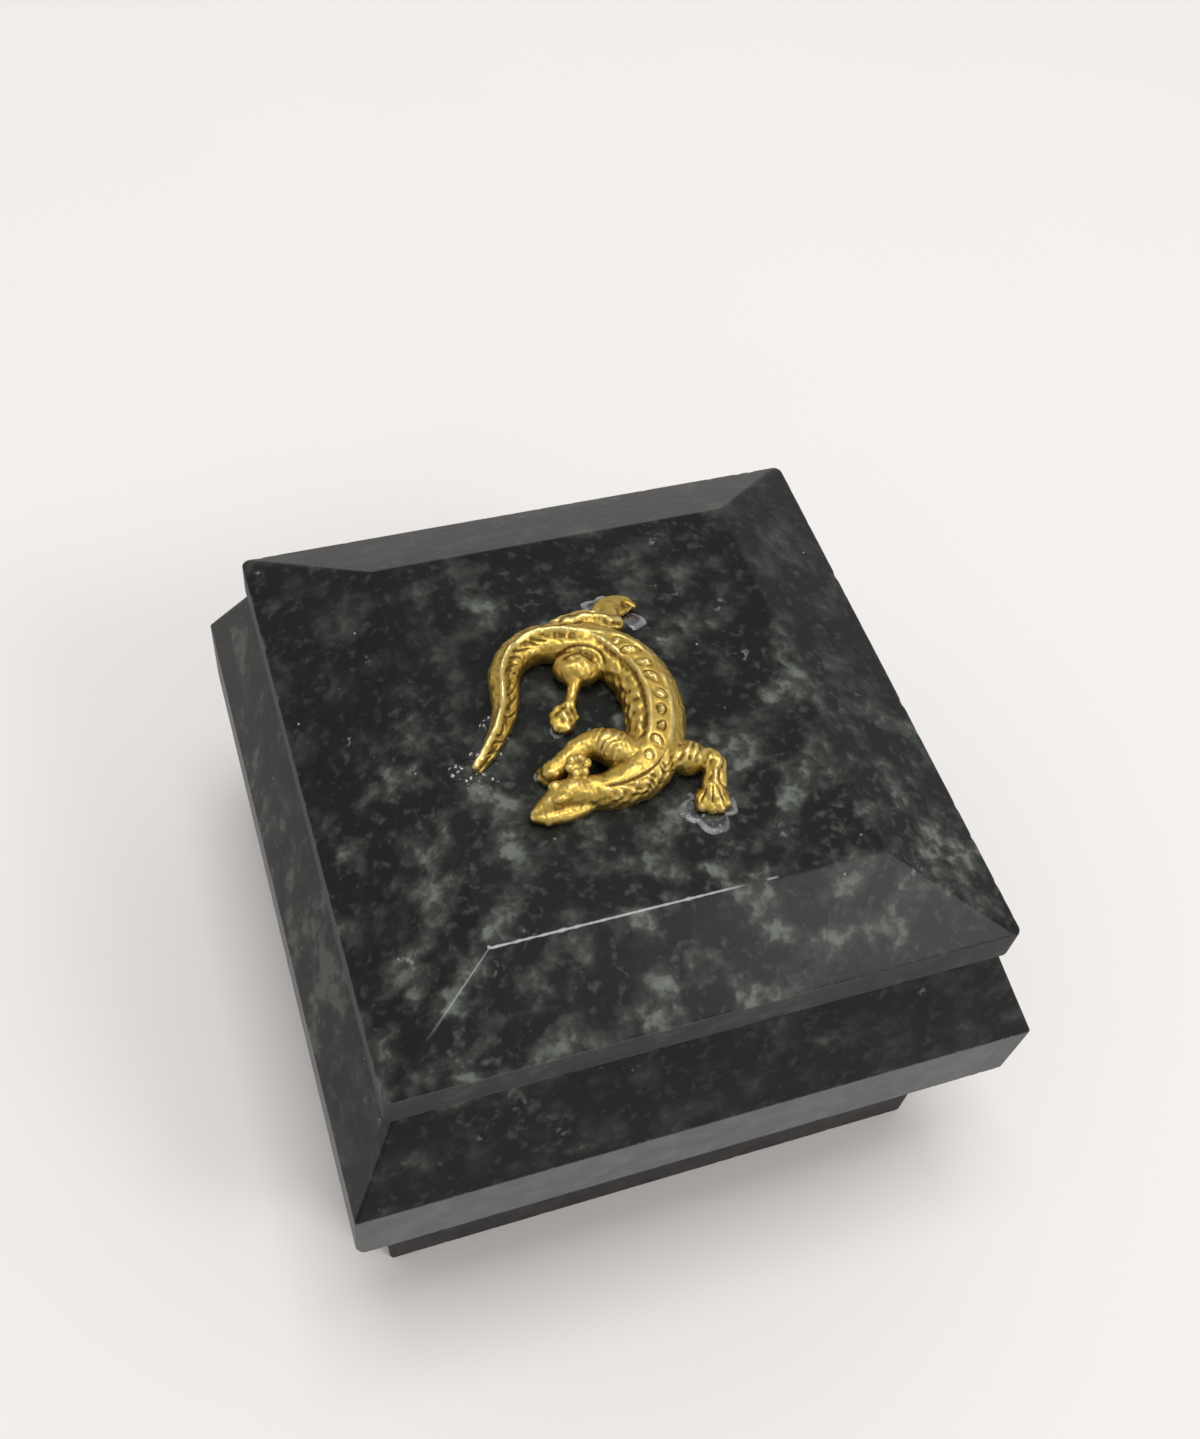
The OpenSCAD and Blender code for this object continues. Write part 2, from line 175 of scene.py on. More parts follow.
def new_group(name, inputs, outputs):
    """Empty node group with named sockets, and its two end nodes."""
    tree = bpy.data.node_groups.new(name, "ShaderNodeTree")
    for label, kind in inputs:
        tree.interface.new_socket(label, in_out="INPUT", socket_type="NodeSocket" + kind)
    for label, kind in outputs:
        tree.interface.new_socket(label, in_out="OUTPUT", socket_type="NodeSocket" + kind)
    return tree, tree.nodes.new("NodeGroupInput").outputs, tree.nodes.new("NodeGroupOutput").inputs


def join(tree, outputs):
    """Links pairs of sockets, from a result to where it goes."""
    for source, target in outputs:
        tree.links.new(source, target)


def new_material(name):
    """Material with one Principled shader, and a place in millimetres for its patterns."""
    material = bpy.data.materials.new(name)
    material.use_nodes = True
    tree = material.node_tree
    shader = tree.nodes["Principled BSDF"]
    coordinates = add_node(tree, "ShaderNodeTexCoord").outputs["Object"]
    scaled = vector_math(tree, "MULTIPLY", {0: coordinates, 1: (1 / MM,) * 3})
    return material, tree, shader, scaled.outputs[0]


def surface_value(tree, name):
    """Number that a mesh carries at its points."""
    return add_node(tree, "ShaderNodeAttribute", attribute_name=name).outputs["Fac"]


print("Node helpers ready")

# %% [markdown]
# ## Floor and light
# Polished black stone shows little of its own colour. What the eye reads is the reflection of
# the room, so the room is part of the finish. A broad soft lamp nearly overhead lights the pale
# floor, the upper room stays dim so that the flat top looks dark, and one faint panel at the
# front right puts the milky sheen on the front bevel. The floor itself lights the undersides.

# %% Floor and light
FLOOR_HALF = 3.0
FLOOR_COLOUR = (0.88, 0.847, 0.832, 1)
FLOOR_SHADE = (0.78, 0.75, 0.74, 1)
FLOOR_SHADE_SHARE = 0.12
FLOOR_ROUGHNESS = 0.9
FLOOR_SPECULAR = 0.1
ROOM_COLOUR = (0.59, 0.59, 0.59, 1)
KEY_AT = (0.0, 0.10, 1.45)
KEY_SIZE = 0.66
KEY_WATTS = 8.0
SHEEN_AT = (0.56, -0.76, 0.96)
SHEEN_SIZE = 0.36
SHEEN_WATTS = 3.2


def soft_panel(name, place, size, watts):
    """Square lamp that faces the middle of the box."""
    data = bpy.data.lights.new(name, "AREA")
    data.size = size
    data.energy = watts
    lamp = bpy.data.objects.new(name, data)
    aim = Vector((0, 0, cad_high.z / 2)) - Vector(place)
    lamp.matrix_world = Matrix.Translation(place) @ aim.to_track_quat("-Z", "Y").to_matrix().to_4x4()
    bpy.context.scene.collection.objects.link(lamp)


def paper_material():
    """Matt pale paper with a faint tooth."""
    material, tree, shader, place = new_material("pale_paper")
    tooth = span(tree, noise(tree, place, 0.02, 4), 0.0, FLOOR_SHADE_SHARE)
    tint = blend(tree, tooth, FLOOR_COLOUR, FLOOR_SHADE)
    join(tree, [(tint, shader.inputs["Base Color"])])
    shader.inputs["Roughness"].default_value = FLOOR_ROUGHNESS
    shader.inputs["Specular IOR Level"].default_value = FLOOR_SPECULAR
    return material


floor_mesh = bpy.data.meshes.new("floor")
floor_mesh.from_pydata([(-FLOOR_HALF, -FLOOR_HALF, 0), (FLOOR_HALF, -FLOOR_HALF, 0),
                        (FLOOR_HALF, FLOOR_HALF, 0), (-FLOOR_HALF, FLOOR_HALF, 0)], [], [(0, 1, 2, 3)])
floor_mesh.materials.append(paper_material())
floor = bpy.data.objects.new("floor", floor_mesh)
bpy.context.scene.collection.objects.link(floor)

soft_panel("key_lamp", KEY_AT, KEY_SIZE, KEY_WATTS)
soft_panel("sheen_lamp", SHEEN_AT, SHEEN_SIZE, SHEEN_WATTS)
world = bpy.data.worlds.new("room")
world.use_nodes = True
world.node_tree.nodes["Background"].inputs["Color"].default_value = ROOM_COLOUR
bpy.context.scene.world = world
print("Floor, two lamps and a dim room")

# %% [markdown]
# ## The pattern in the stone
# Serpentine is nearly black, with grey green clouds a few millimetres wide that break up into
# flecks, and here and there a white speck. An image could hold that, but a solid pattern of
# noise runs through the block, so that it carries on round every arris as in real stone. The
# pattern is a node group, because the polished and the ground faces share it.

# %% Serpentine node group
HEART_REACH = 48.0
DARK_STONE = (0.0090, 0.0096, 0.0090, 1)
DARK_CLOUDY_STONE = (0.0106, 0.0116, 0.0106, 1)
CLOUD_GREY = (0.043, 0.047, 0.041, 1)
CLOUD_PALE = (0.125, 0.134, 0.118, 1)
SPECK_WHITE = (0.36, 0.37, 0.37, 1)


def cloud_masks(tree, place, bent, given):
    """Region: slow noise that rises towards the heart. Cloud: the stronger of patches of bent noise that
    finer noise breaks up, and of small stray spots; both are fuller where the region is cloudy."""
    away = vector_math(tree, "DISTANCE", {0: place, 1: given["Heart"]}).outputs["Value"]
    nearer = arithmetic(tree, "SUBTRACT", HEART_REACH, away)
    slow = arithmetic(tree, "ADD", noise(tree, place, 0.045, 2), product(tree, nearer, given["Lean"]))
    region = soft_step(tree, slow, 0.30, 0.66)
    patch = soft_step(tree, noise(tree, bent, 0.15, 5, 0.52), 0.40, 0.70)
    fleck = soft_step(tree, noise(tree, bent, 0.50, 3, 0.5), 0.30, 0.70)
    broken = product(tree, patch, span(tree, fleck, 0.45, 1.0))
    local = product(tree, broken, span(tree, region, 0.42, 1.0))
    spot = soft_step(tree, noise(tree, place, 0.55, 3, 0.5), 0.48, 0.74)
    stray = product(tree, spot, span(tree, region, 0.32, 0.48))
    return region, product(tree, arithmetic(tree, "MAXIMUM", local, stray), given["Amount"])


def speck_mask(tree, place, bent):
    """Dots: the middles of about one Voronoi cell in ten, some paler than others. Wisps: threads of fine
    noise in about one larger cell in six."""
    cells = add_node(tree, "ShaderNodeTexVoronoi", {"Vector": place, "Scale": 0.42})
    drawn = add_node(tree, "ShaderNodeSeparateColor", {0: cells.outputs["Color"]})
    lucky = soft_step(tree, drawn.outputs[0], 0.90, 0.92)
    dot = soft_step(tree, cells.outputs["Distance"], 0.105, 0.05)
    pale_dot = product(tree, dot, span(tree, drawn.outputs[1], 0.25, 1.0))
    wider = add_node(tree, "ShaderNodeTexVoronoi", {"Vector": bent, "Scale": 0.17})
    chance = add_node(tree, "ShaderNodeSeparateColor", {0: wider.outputs["Color"]}).outputs[0]
    flaw = product(tree, soft_step(tree, chance, 0.80, 0.84),
                   soft_step(tree, wider.outputs["Distance"], 0.32, 0.10))
    thread = soft_step(tree, noise(tree, bent, 0.95, 2, 0.5), 0.54, 0.66)
    wisp = product(tree, flaw, span(tree, thread, 0.0, 0.42))
    return arithmetic(tree, "MAXIMUM", product(tree, lucky, pale_dot), wisp)


def serpentine_group():
    """Colour by the masks: dark stone, grey clouds, pale middles of the clouds, white specks; all of it
    times a tone. The cloud and speck masks come out as well, for the polish and the bump."""
    tree, given, result = new_group(
        "serpentine_clouds",
        [("Place", "Vector"), ("Amount", "Float"), ("Heart", "Vector"), ("Lean", "Float"), ("Tone", "Float")],
        [("Color", "Color"), ("Cloud", "Float"), ("Speck", "Float")])
    place = given["Place"]
    bent = bent_place(tree, place, 0.50, 1.6)
    region, cloud = cloud_masks(tree, place, bent, given)
    speck = speck_mask(tree, place, bent)
    dark = blend(tree, region, DARK_STONE, DARK_CLOUDY_STONE)
    grey = blend(tree, soft_step(tree, cloud, 0.0, 0.56), dark, CLOUD_GREY)
    pale = blend(tree, soft_step(tree, cloud, 0.40, 0.90), grey, CLOUD_PALE)
    specked = blend(tree, speck, pale, SPECK_WHITE)
    toned = vector_math(tree, "SCALE", {0: specked, "Scale": given["Tone"]}).outputs[0]
    join(tree, [(toned, result["Color"]), (cloud, result["Cloud"]), (speck, result["Speck"])])
    return tree


SERPENTINE = serpentine_group()
print("Node group:", SERPENTINE.name, "with", len(SERPENTINE.nodes), "nodes")

# %% [markdown]
# ## The finish of the stone
# One slab shows two finishes: the slopes are polished, and the upright edges are only ground, so
# they scatter light and look lighter. The mesh carries that as a number at its points, together
# with how far an arris has been rubbed. The material reads both, which keeps one block one piece.

# %% Stone materials
STONE_IOR = 1.22
WALL_IOR = 1.25
# Heart of the lid's clouds, near the front bevel right of the middle: real pale clouds, and also a painted
# sheen that lightens that end of the bevel
LID_CLOUD_AND_SHEEN_HEART = (12.0, -46.0, 75.0)
WALL_HEART = (-58.0, 5.0, 50.0)
LID_EDGE_GREY = (0.042, 0.044, 0.042, 1)
BAND_GREY = (0.150, 0.153, 0.150, 1)
PLINTH_GREY = (0.050, 0.045, 0.042, 1)
RUBBED_STONE = (0.50, 0.51, 0.50, 1)
CLOUD_ROUGHER = 0.10
GROUND_ROUGHNESS = 0.55
SPECK_PIT = -0.6
GRAIN_STRENGTH = 0.16
GRAIN_H = 0.06 * MM


def stone_material(name, amount, heart, lean, tone, ground_colour, ground_share, polish, ior=STONE_IOR,
                   turn=(0.0, 0.0, 0.0)):
    """Serpentine that follows the mesh's ground and rub values. Where it is ground, dusty grey covers the
    pattern and the stone is rough; where an arris is rubbed, scratches show it nearly white. The polish is
    the roughness of the dark stone, and clouds are a little rougher."""
    material, tree, shader, place = new_material(name)
    turned = add_node(tree, "ShaderNodeMapping", {"Vector": place, "Rotation": turn}).outputs[0]
    pattern = add_node(tree, "ShaderNodeGroup",
                       {"Place": turned, "Amount": amount, "Heart": heart, "Lean": lean, "Tone": tone},
                       node_tree=SERPENTINE).outputs
    ground = surface_value(tree, "ground")
    rub = surface_value(tree, "rub")

    scratch = noise(tree, turned, 2.6, 4, 0.65)
    dust = soft_step(tree, noise(tree, turned, 0.22, 5, 0.6), 0.35, 0.70)
    dusty = blend(tree, span(tree, dust, ground_share, 1.0), pattern["Color"], ground_colour)
    colour = blend(tree, ground, pattern["Color"], dusty)
    worn = blend(tree, product(tree, rub, span(tree, scratch, 0.4, 1.3)), colour, RUBBED_STONE)
    smooth = span(tree, pattern["Cloud"], polish, polish + CLOUD_ROUGHER)
    rough = arithmetic(tree, "MAXIMUM", smooth, product(tree, ground, GROUND_ROUGHNESS))
    grain = product(tree, scratch, span(tree, ground, 0.05, 1.0))
    height = arithmetic(tree, "ADD", grain, product(tree, pattern["Speck"], SPECK_PIT))
    bump = add_node(tree, "ShaderNodeBump",
                    {"Height": height, "Strength": GRAIN_STRENGTH, "Distance": GRAIN_H})
    join(tree, [(worn, shader.inputs["Base Color"]), (rough, shader.inputs["Roughness"]),
                (bump.outputs["Normal"], shader.inputs["Normal"])])
    shader.inputs["IOR"].default_value = ior
    return material


# The lid's clouds gather towards its heart, which partly paints the sheen of the front bevel
POLISHED_LID = stone_material(
    "polished_serpentine_lid", amount=1.1, heart=LID_CLOUD_AND_SHEEN_HEART, lean=0.0042, tone=1.08,
    ground_colour=LID_EDGE_GREY, ground_share=0.70, polish=0.26)
POLISHED_WALL = stone_material(
    "polished_serpentine_wall", amount=1.45, heart=WALL_HEART, lean=0.0034, tone=0.60,
    ground_colour=BAND_GREY, ground_share=0.74, polish=0.40, ior=WALL_IOR)
GROUND_STONE = stone_material(
    "ground_serpentine", amount=0.9, heart=WALL_HEART, lean=0.0, tone=1.0,
    ground_colour=PLINTH_GREY, ground_share=0.50, polish=0.40, turn=(0.3, 0.8, 0.1))
print("Stone materials:", POLISHED_LID.name, POLISHED_WALL.name, GROUND_STONE.name)

# %% [markdown]
# ## Rings and rows
# Every stone here is a stack of rounded rectangles: an outline that is carried up a profile.
# A cube with a Bevel modifier gives the same block, but with every edge alike. Here each arris
# of the profile has its own width all along its length, so it can be rubbed and chipped.

# %% Outlines
def ring_outline(side_steps, corner_steps):
    """Outline of a rounded rectangle without its size. A point is place * (half - r) + normal * r:
    on a corner the place is (+-1, +-1) and the normal turns through a quarter circle, on a side
    the normal stays and the place runs from corner to corner."""
    corner = np.array([[1, 1], [-1, 1], [-1, -1], [1, -1]], float)
    turn = np.linspace(0, np.pi / 2, corner_steps) + np.arange(4)[:, None] * np.pi / 2
    arc_normal = np.stack([np.cos(turn), np.sin(turn)], -1)
    arc_place = np.broadcast_to(corner[:, None], arc_normal.shape)
    share = np.linspace(0, 1, side_steps + 2)[1:-1, None]
    side_place = corner[:, None] * (1 - share) + np.roll(corner, -1, 0)[:, None] * share
    side_normal = np.broadcast_to(arc_normal[:, -1:], side_place.shape)
    place = np.concatenate([arc_place, side_place], 1).reshape(-1, 2)
    normal = np.concatenate([arc_normal, side_normal], 1).reshape(-1, 2)
    return place, normal


def strip_outline(side_steps, corner_steps):
    """The front quarter of the same outline, from the middle of one corner to the next, where the
    mitred strips of the walls meet."""
    share = np.linspace(0, 1, side_steps + 2)[1:-1]
    turn = np.linspace(0, np.pi / 4, corner_steps)
    angle = np.concatenate([turn + 1.25 * np.pi, np.full(side_steps, 1.5 * np.pi), turn + 1.5 * np.pi])
    run = np.concatenate([np.full(corner_steps, -1.0), 2 * share - 1, np.full(corner_steps, 1.0)])
    return np.stack([run, np.full(len(run), -1.0)], -1), np.stack([np.cos(angle), np.sin(angle)], -1)


print("Points in a ring of 240 steps a side:", len(ring_outline(240, 9)[0]))

# %% [markdown]
# ## Eased arrises
# Stone is never left knife sharp. Each corner of a profile is cut back by a small amount along
# both faces and rounded between, and the amount changes along the outline, so that the arris
# swells into little chips. Two guard rows stop the rounding from shading the flat faces.

# %% Profile rows
ARRIS_STEPS = 5
GUARD = 0.5 * MM
CHIP_WAVES = 40
CHIP_WAVE_COUNTS = (6, 160)
ARRIS_WAVER = 0.12
CHIP_LEVEL = 1.1
CHIP_MOST = 1.5
LEAST_RADIUS = 0.02 * MM
Rows = namedtuple("Rows", "base slope arris ground corner")


def one_long(step):
    """A step along a profile, made one long as measured across the face."""
    return step / math.hypot(max(abs(step[0]), abs(step[1])), step[3])


def profile_rows(corners, ground, closed, between):
    """Rows of a profile with eased corners. A row is base + slope * cut, where cut is how far the
    arris is cut back: corner + cut * ((1 - t)^2 * way back + t^2 * way on), t from 0 to 1.
    Corners are (half x, half y, corner radius, height); ground belongs to the face after each;
    between gives the shares at which a face has extra rows."""
    corners = np.asarray(corners, float)
    count = len(corners)
    t = np.linspace(0, 1, ARRIS_STEPS)
    back_share = np.concatenate([[1], (1 - t) ** 2, [0]])[:, None]
    on_share = np.concatenate([[0], t ** 2, [1]])[:, None]
    guard = np.concatenate([[GUARD], 0 * t, [GUARD]])[:, None]
    arris = np.concatenate([[0], np.sin(np.pi * t), [0]])
    later = np.concatenate([[0], t, [1]])
    parts = []
    for k in range(count):
        here = corners[k]
        if not closed and k in (0, count - 1):
            face = ground[min(k, count - 2)]
            parts.append((here[None], np.zeros((1, 4)), np.zeros(1), np.full(1, face), np.full(1, k)))
        else:
            slope = back_share * one_long(corners[k - 1] - here)
            slope = slope + on_share * one_long(corners[(k + 1) % count] - here)
            faces = ground[k - 1] * (1 - later) + ground[k] * later
            parts.append((here + guard * slope, slope, arris, faces, np.full(len(arris), k)))
        if k < count - 1 and len(between[k]):
            share = np.array(between[k])[:, None]
            rows = here * (1 - share) + corners[k + 1] * share
            parts.append((rows, np.zeros_like(rows), np.zeros(len(rows)), np.full(len(rows), ground[k]),
                          np.full(len(rows), k)))
    return Rows(*(np.concatenate(column) for column in zip(*parts)))


def chipped(columns, corners, cut, chip, seed):
    """Width of every arris along the outline: a cut that wavers a little, and chips where a sum of
    cosine waves with random phases rises above its usual height."""
    draw = np.random.default_rng(seed)
    along = np.linspace(0, 2 * np.pi, columns, endpoint=False)
    waves = draw.integers(*CHIP_WAVE_COUNTS, (corners, CHIP_WAVES, 1))
    phase = draw.uniform(0, 2 * np.pi, (corners, CHIP_WAVES, 1))
    sum_of_waves = np.cos(waves * along + phase).sum(1) / math.sqrt(CHIP_WAVES / 2)
    return cut * (1 + ARRIS_WAVER * sum_of_waves) + chip * np.clip(sum_of_waves - CHIP_LEVEL, 0, CHIP_MOST)


def stone_surface(outline, rows, cut):
    """Points of the surface: place * (half - r) + normal * r in plan, and the height of the row."""
    place, normal = outline
    values = rows.base[:, None] + rows.slope[:, None] * cut[rows.corner][:, :, None]
    radius = np.maximum(values[..., 2:3], LEAST_RADIUS)
    return np.concatenate([place * (values[..., :2] - radius) + normal * radius, values[..., 3:]], -1)


def along_rows(row_values, points):
    """One number for each row, repeated at every point of the row."""
    return np.broadcast_to(row_values[:, None], points.shape[:2])


print("Rows for one eased arris:", ARRIS_STEPS + 2)

# %% [markdown]
# ## From a grid of points to a piece
# A grid of points becomes a mesh in one call. The faces are four neighbouring points each, worked
# out from the grid's numbering, and the ends are closed with one flat face each. The sign of the
# enclosed volume tells whether the faces point outwards.

# %% Mesh helpers
SHARP_ANGLE = math.radians(38)


def grid_faces(rows, columns, wrap_rows, wrap_columns):
    """Corner numbers of the four-sided faces of a grid, which may close on itself."""
    number = np.arange(rows * columns).reshape(rows, columns)
    if wrap_rows:
        number = np.concatenate([number, number[:1]], 0)
    if wrap_columns:
        number = np.concatenate([number, number[:, :1]], 1)
    return np.stack([number[:-1, :-1], number[:-1, 1:], number[1:, 1:], number[1:, :-1]], -1).reshape(-1, 4)


def enclosed_volume(points, faces):
    """Sum of the signed volumes of the tetrahedra from the origin to each half face."""
    a, b, c, d = (points[faces[:, k]] for k in range(4))
    halves = np.einsum("ij,ij->i", a, np.cross(b, c)) + np.einsum("ij,ij->i", a, np.cross(c, d))
    return halves.sum() / 6


def closed_grid(points, wrap_rows):
    """Points and faces of a grid that closes round its columns and has flat ends across its rows,
    or, with wrap_rows, that closes round its rows and has flat ends at its first and last column."""
    rows, columns = points.shape[:2]
    faces = grid_faces(rows, columns, wrap_rows, not wrap_rows)
    flat_points = points.reshape(-1, 3)
    number = np.arange(rows * columns).reshape(rows, columns)
    ends = [number[::-1, 0], number[:, -1]] if wrap_rows else [number[0][::-1], number[-1]]
    if enclosed_volume(flat_points - flat_points.mean(0), faces) < 0:
        faces = faces[:, ::-1]
        ends = [end[::-1] for end in ends]
    return flat_points, faces.tolist() + [end.tolist() for end in ends]


def new_piece(name, points, faces, material, values=None):
    """Object with a smooth shaded mesh, sharp where faces meet at a clear angle."""
    mesh = bpy.data.meshes.new(name)
    mesh.from_pydata(points.tolist(), [], faces)
    mesh.polygons.foreach_set("use_smooth", np.ones(len(mesh.polygons), bool))
    mesh.set_sharp_from_angle(angle=SHARP_ANGLE)
    for label, numbers in (values or {}).items():
        mesh.attributes.new(label, "FLOAT", "POINT").data.foreach_set("value", np.ravel(numbers))
    mesh.materials.append(material)
    mesh.update()
    piece = bpy.data.objects.new(name, mesh)
    bpy.context.scene.collection.objects.link(piece)
    return piece


def fit_piece(piece, node, body):
    """Puts a piece in the place of its node: what it replaces and what it moves with."""
    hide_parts(node)
    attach(piece, body)
    low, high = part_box(node)
    print(piece.name, "faces:", len(piece.data.polygons), "for", node,
          "of mm:", [round(side / MM, 1) for side in high - low])


print("Faces round a grid of 3 by 4 points:", len(grid_faces(3, 4, False, True)))

# %% [markdown]
# ## Wear on the lid
# The front edge of the flat top has been rubbed to a thin pale line. It breaks up into dots towards the
# right, and at its left end it runs down the mitre. Wear like this could be painted on an image. Here it
# is a number at each point of the mesh, worked out from where the point lies, so it follows the arris.

# %% Wear on the lid
TOP_ARRIS = 3
LID_BEVEL_H = 9 * MM
LID_RUB = 0.08
TOP_RUB = 0.007
BROKEN_RUB = 0.7
# Each wear ends at a share of the half width, or of the height of the bevel, and fades over another share
LINE_FADE = (0.28, 0.14)
DOTS_FADE = (0.62, 0.10)
MITRE_FADE = (0.62, 0.30)
MITRE_START = 0.004
MITRE_COSINE = 0.975
FRONT_REACH = 0.4 * MM


def fade(value, end, run):
    """1 up to a run before the end, then straight down to 0 at the end."""
    return np.clip((end - value) / run, 0, 1)


def lid_rub(points, rows, normal, top_x, top_y):
    """Rub: full along the left 60% of the top's front arris, in dots further on, and down the mitre
    at its left end; faint on every other arris."""
    x, y, z = points[..., 0], points[..., 1], points[..., 2]
    on_top = rows.corner == TOP_ARRIS
    faint = along_rows(np.where(on_top, TOP_RUB, LID_RUB) * rows.arris, points)
    share = x / top_x
    dots = np.clip(np.cos(47 * share) + np.cos(29 * share + 1.0) - 0.6, 0, 1)
    line = np.maximum(fade(share, *LINE_FADE), BROKEN_RUB * dots * fade(share, *DOTS_FADE))
    at_front = on_top[:, None] & (y < -top_y + FRONT_REACH)
    front = np.where(at_front, rows.arris[:, None] * line, 0)
    down = (z.max() - z) / LID_BEVEL_H
    to_front_left = -(normal[:, 0] + normal[:, 1]) / math.sqrt(2)
    diagonal = np.clip((to_front_left - MITRE_COSINE) / (1 - MITRE_COSINE), 0, 1)
    mitre = diagonal * fade(down, *MITRE_FADE) * np.clip(down / MITRE_START, 0, 1)
    return np.maximum(faint, np.maximum(front, BROKEN_RUB * mitre))


print("Rubbed line fades out at", LINE_FADE[0], "of the half width")

# %% [markdown]
# ## Lid slab
# The lid is one thick slab: a ground upright edge, four polished bevels and a flat top. The long
# bevels are at the sides. It could be a cube with its top scaled in. As a stack of rings it keeps an
# eased arris everywhere, and the arris of the top gets hardly any chips, so that the rubbed line is even.

# %% Lid slab
LID_EDGE = 6.5 * MM
LID_SIDE_BEVEL = 19 * MM
LID_FRONT_BEVEL = 15 * MM
LID_CORNER_R = 1.4 * MM
TOP_CORNER_R = 0.35 * MM
CAP_INSET = 2.0 * MM
LID_ARRIS = 0.26 * MM
LID_CHIPS = np.array([[0.30], [0.30], [0.30], [0.05], [0.30]]) * MM
BEVEL_SHARES = np.linspace(0.06, 0.94, 12)


def lid_slab():
    """Rings from under the lid, round its edge, up the bevels and in over the flat top."""
    low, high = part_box("lid_slab")
    half_x, half_y = high.x, high.y
    top_x, top_y = half_x - LID_SIDE_BEVEL, half_y - LID_FRONT_BEVEL
    corners = [(half_x - CAP_INSET, half_y - CAP_INSET, LID_CORNER_R, low.z),
               (half_x, half_y, LID_CORNER_R, low.z),
               (half_x, half_y, LID_CORNER_R, low.z + LID_EDGE),
               (top_x, top_y, TOP_CORNER_R, high.z),
               (top_x - CAP_INSET, top_y - CAP_INSET, TOP_CORNER_R, high.z)]
    rows = profile_rows(corners, [1, 1, 0, 0], False, [(), (), BEVEL_SHARES, ()])
    outline = ring_outline(side_steps=240, corner_steps=9)
    cut = chipped(len(outline[0]), len(corners), LID_ARRIS, LID_CHIPS, 11)
    points = stone_surface(outline, rows, cut)
    return new_piece("lid_slab_dressed", *closed_grid(points, False), POLISHED_LID,
                     {"ground": along_rows(rows.ground, points),
                      "rub": lid_rub(points, rows, outline[1], top_x, top_y)})


fit_piece(lid_slab(), "lid_slab", "lid")

# %% [markdown]
# ## Plain blocks
# The locating plate, the floor and the four plinth walls are ground blocks that hardly show.
# One function makes them all from the box of their node: a rounded rectangle with eased arrises,
# and a wider cut at the bottom of the plate, which leads it into the box.

# %% Plain blocks
BLOCK_CORNER_R = 0.7 * MM
BLOCK_ARRIS = 0.25 * MM
BLOCK_CHIP = 0.25 * MM
BLOCK_CAP_SHARE = 0.3
BLOCK_RUB = 0.08
PLATE_CHAMFER = 1.0 * MM


def ground_block(node, body, lower_cut, seed):
    """Block in the box of its node; its lower edge is cut at 45 degrees where lower_cut is over 0."""
    low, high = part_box(node)
    middle = (low + high) / 2
    half_x, half_y = (high.x - low.x) / 2, (high.y - low.y) / 2
    inset = min(half_x, half_y) * BLOCK_CAP_SHARE
    corners = [(half_x - inset, half_y - inset, BLOCK_CORNER_R, low.z),
               (half_x - lower_cut, half_y - lower_cut, BLOCK_CORNER_R, low.z),
               (half_x, half_y, BLOCK_CORNER_R, low.z + lower_cut),
               (half_x, half_y, BLOCK_CORNER_R, high.z),
               (half_x - inset, half_y - inset, BLOCK_CORNER_R, high.z)]
    if lower_cut == 0:
        corners.pop(2)
    rows = profile_rows(corners, [1] * (len(corners) - 1), False, [()] * len(corners))
    outline = ring_outline(side_steps=160, corner_steps=7)
    cut = chipped(len(outline[0]), len(corners), BLOCK_ARRIS, BLOCK_CHIP, seed)
    points = stone_surface(outline, rows, cut) + np.array([middle.x, middle.y, 0])
    piece = new_piece(node + "_dressed", *closed_grid(points, False), GROUND_STONE,
                      {"ground": along_rows(rows.ground, points),
                       "rub": along_rows(BLOCK_RUB * rows.arris, points)})
    fit_piece(piece, node, body)


ground_block("lid_locating_plate", "lid", PLATE_CHAMFER, 21)
for number, block_name in enumerate(["floor_slab", "plinth_front", "plinth_back", "plinth_left",
                                     "plinth_right"]):
    ground_block(block_name, "box", 0, 31 + number)

# %% [markdown]
# ## Upper walls
# Four strips with the same section meet in mitres at the corners: a ground upright band, a
# polished flare above it, the rim, and a plain inner face. The section is a closed profile that is
# carried along a quarter of the outline. At the mitre the last column stands back a hair, which
# leaves the fine dark line of a glued joint.

# %% Upper walls
BAND_H = 14 * MM
FLARE_RUN = 8.1 * MM
WALL_T = 9 * MM
BAND_CORNER_R = 1.4 * MM
RIM_CORNER_R = 0.5 * MM
WALL_ARRIS = 0.24 * MM
WALL_CHIP = 0.22 * MM
WALL_RUB = 0.09
FLARE_SHARES = np.linspace(0.1, 0.9, 7)
MITRE_GROOVE = 0.05 * MM
GROOVE_REACH = FLARE_RUN + 1.0 * MM


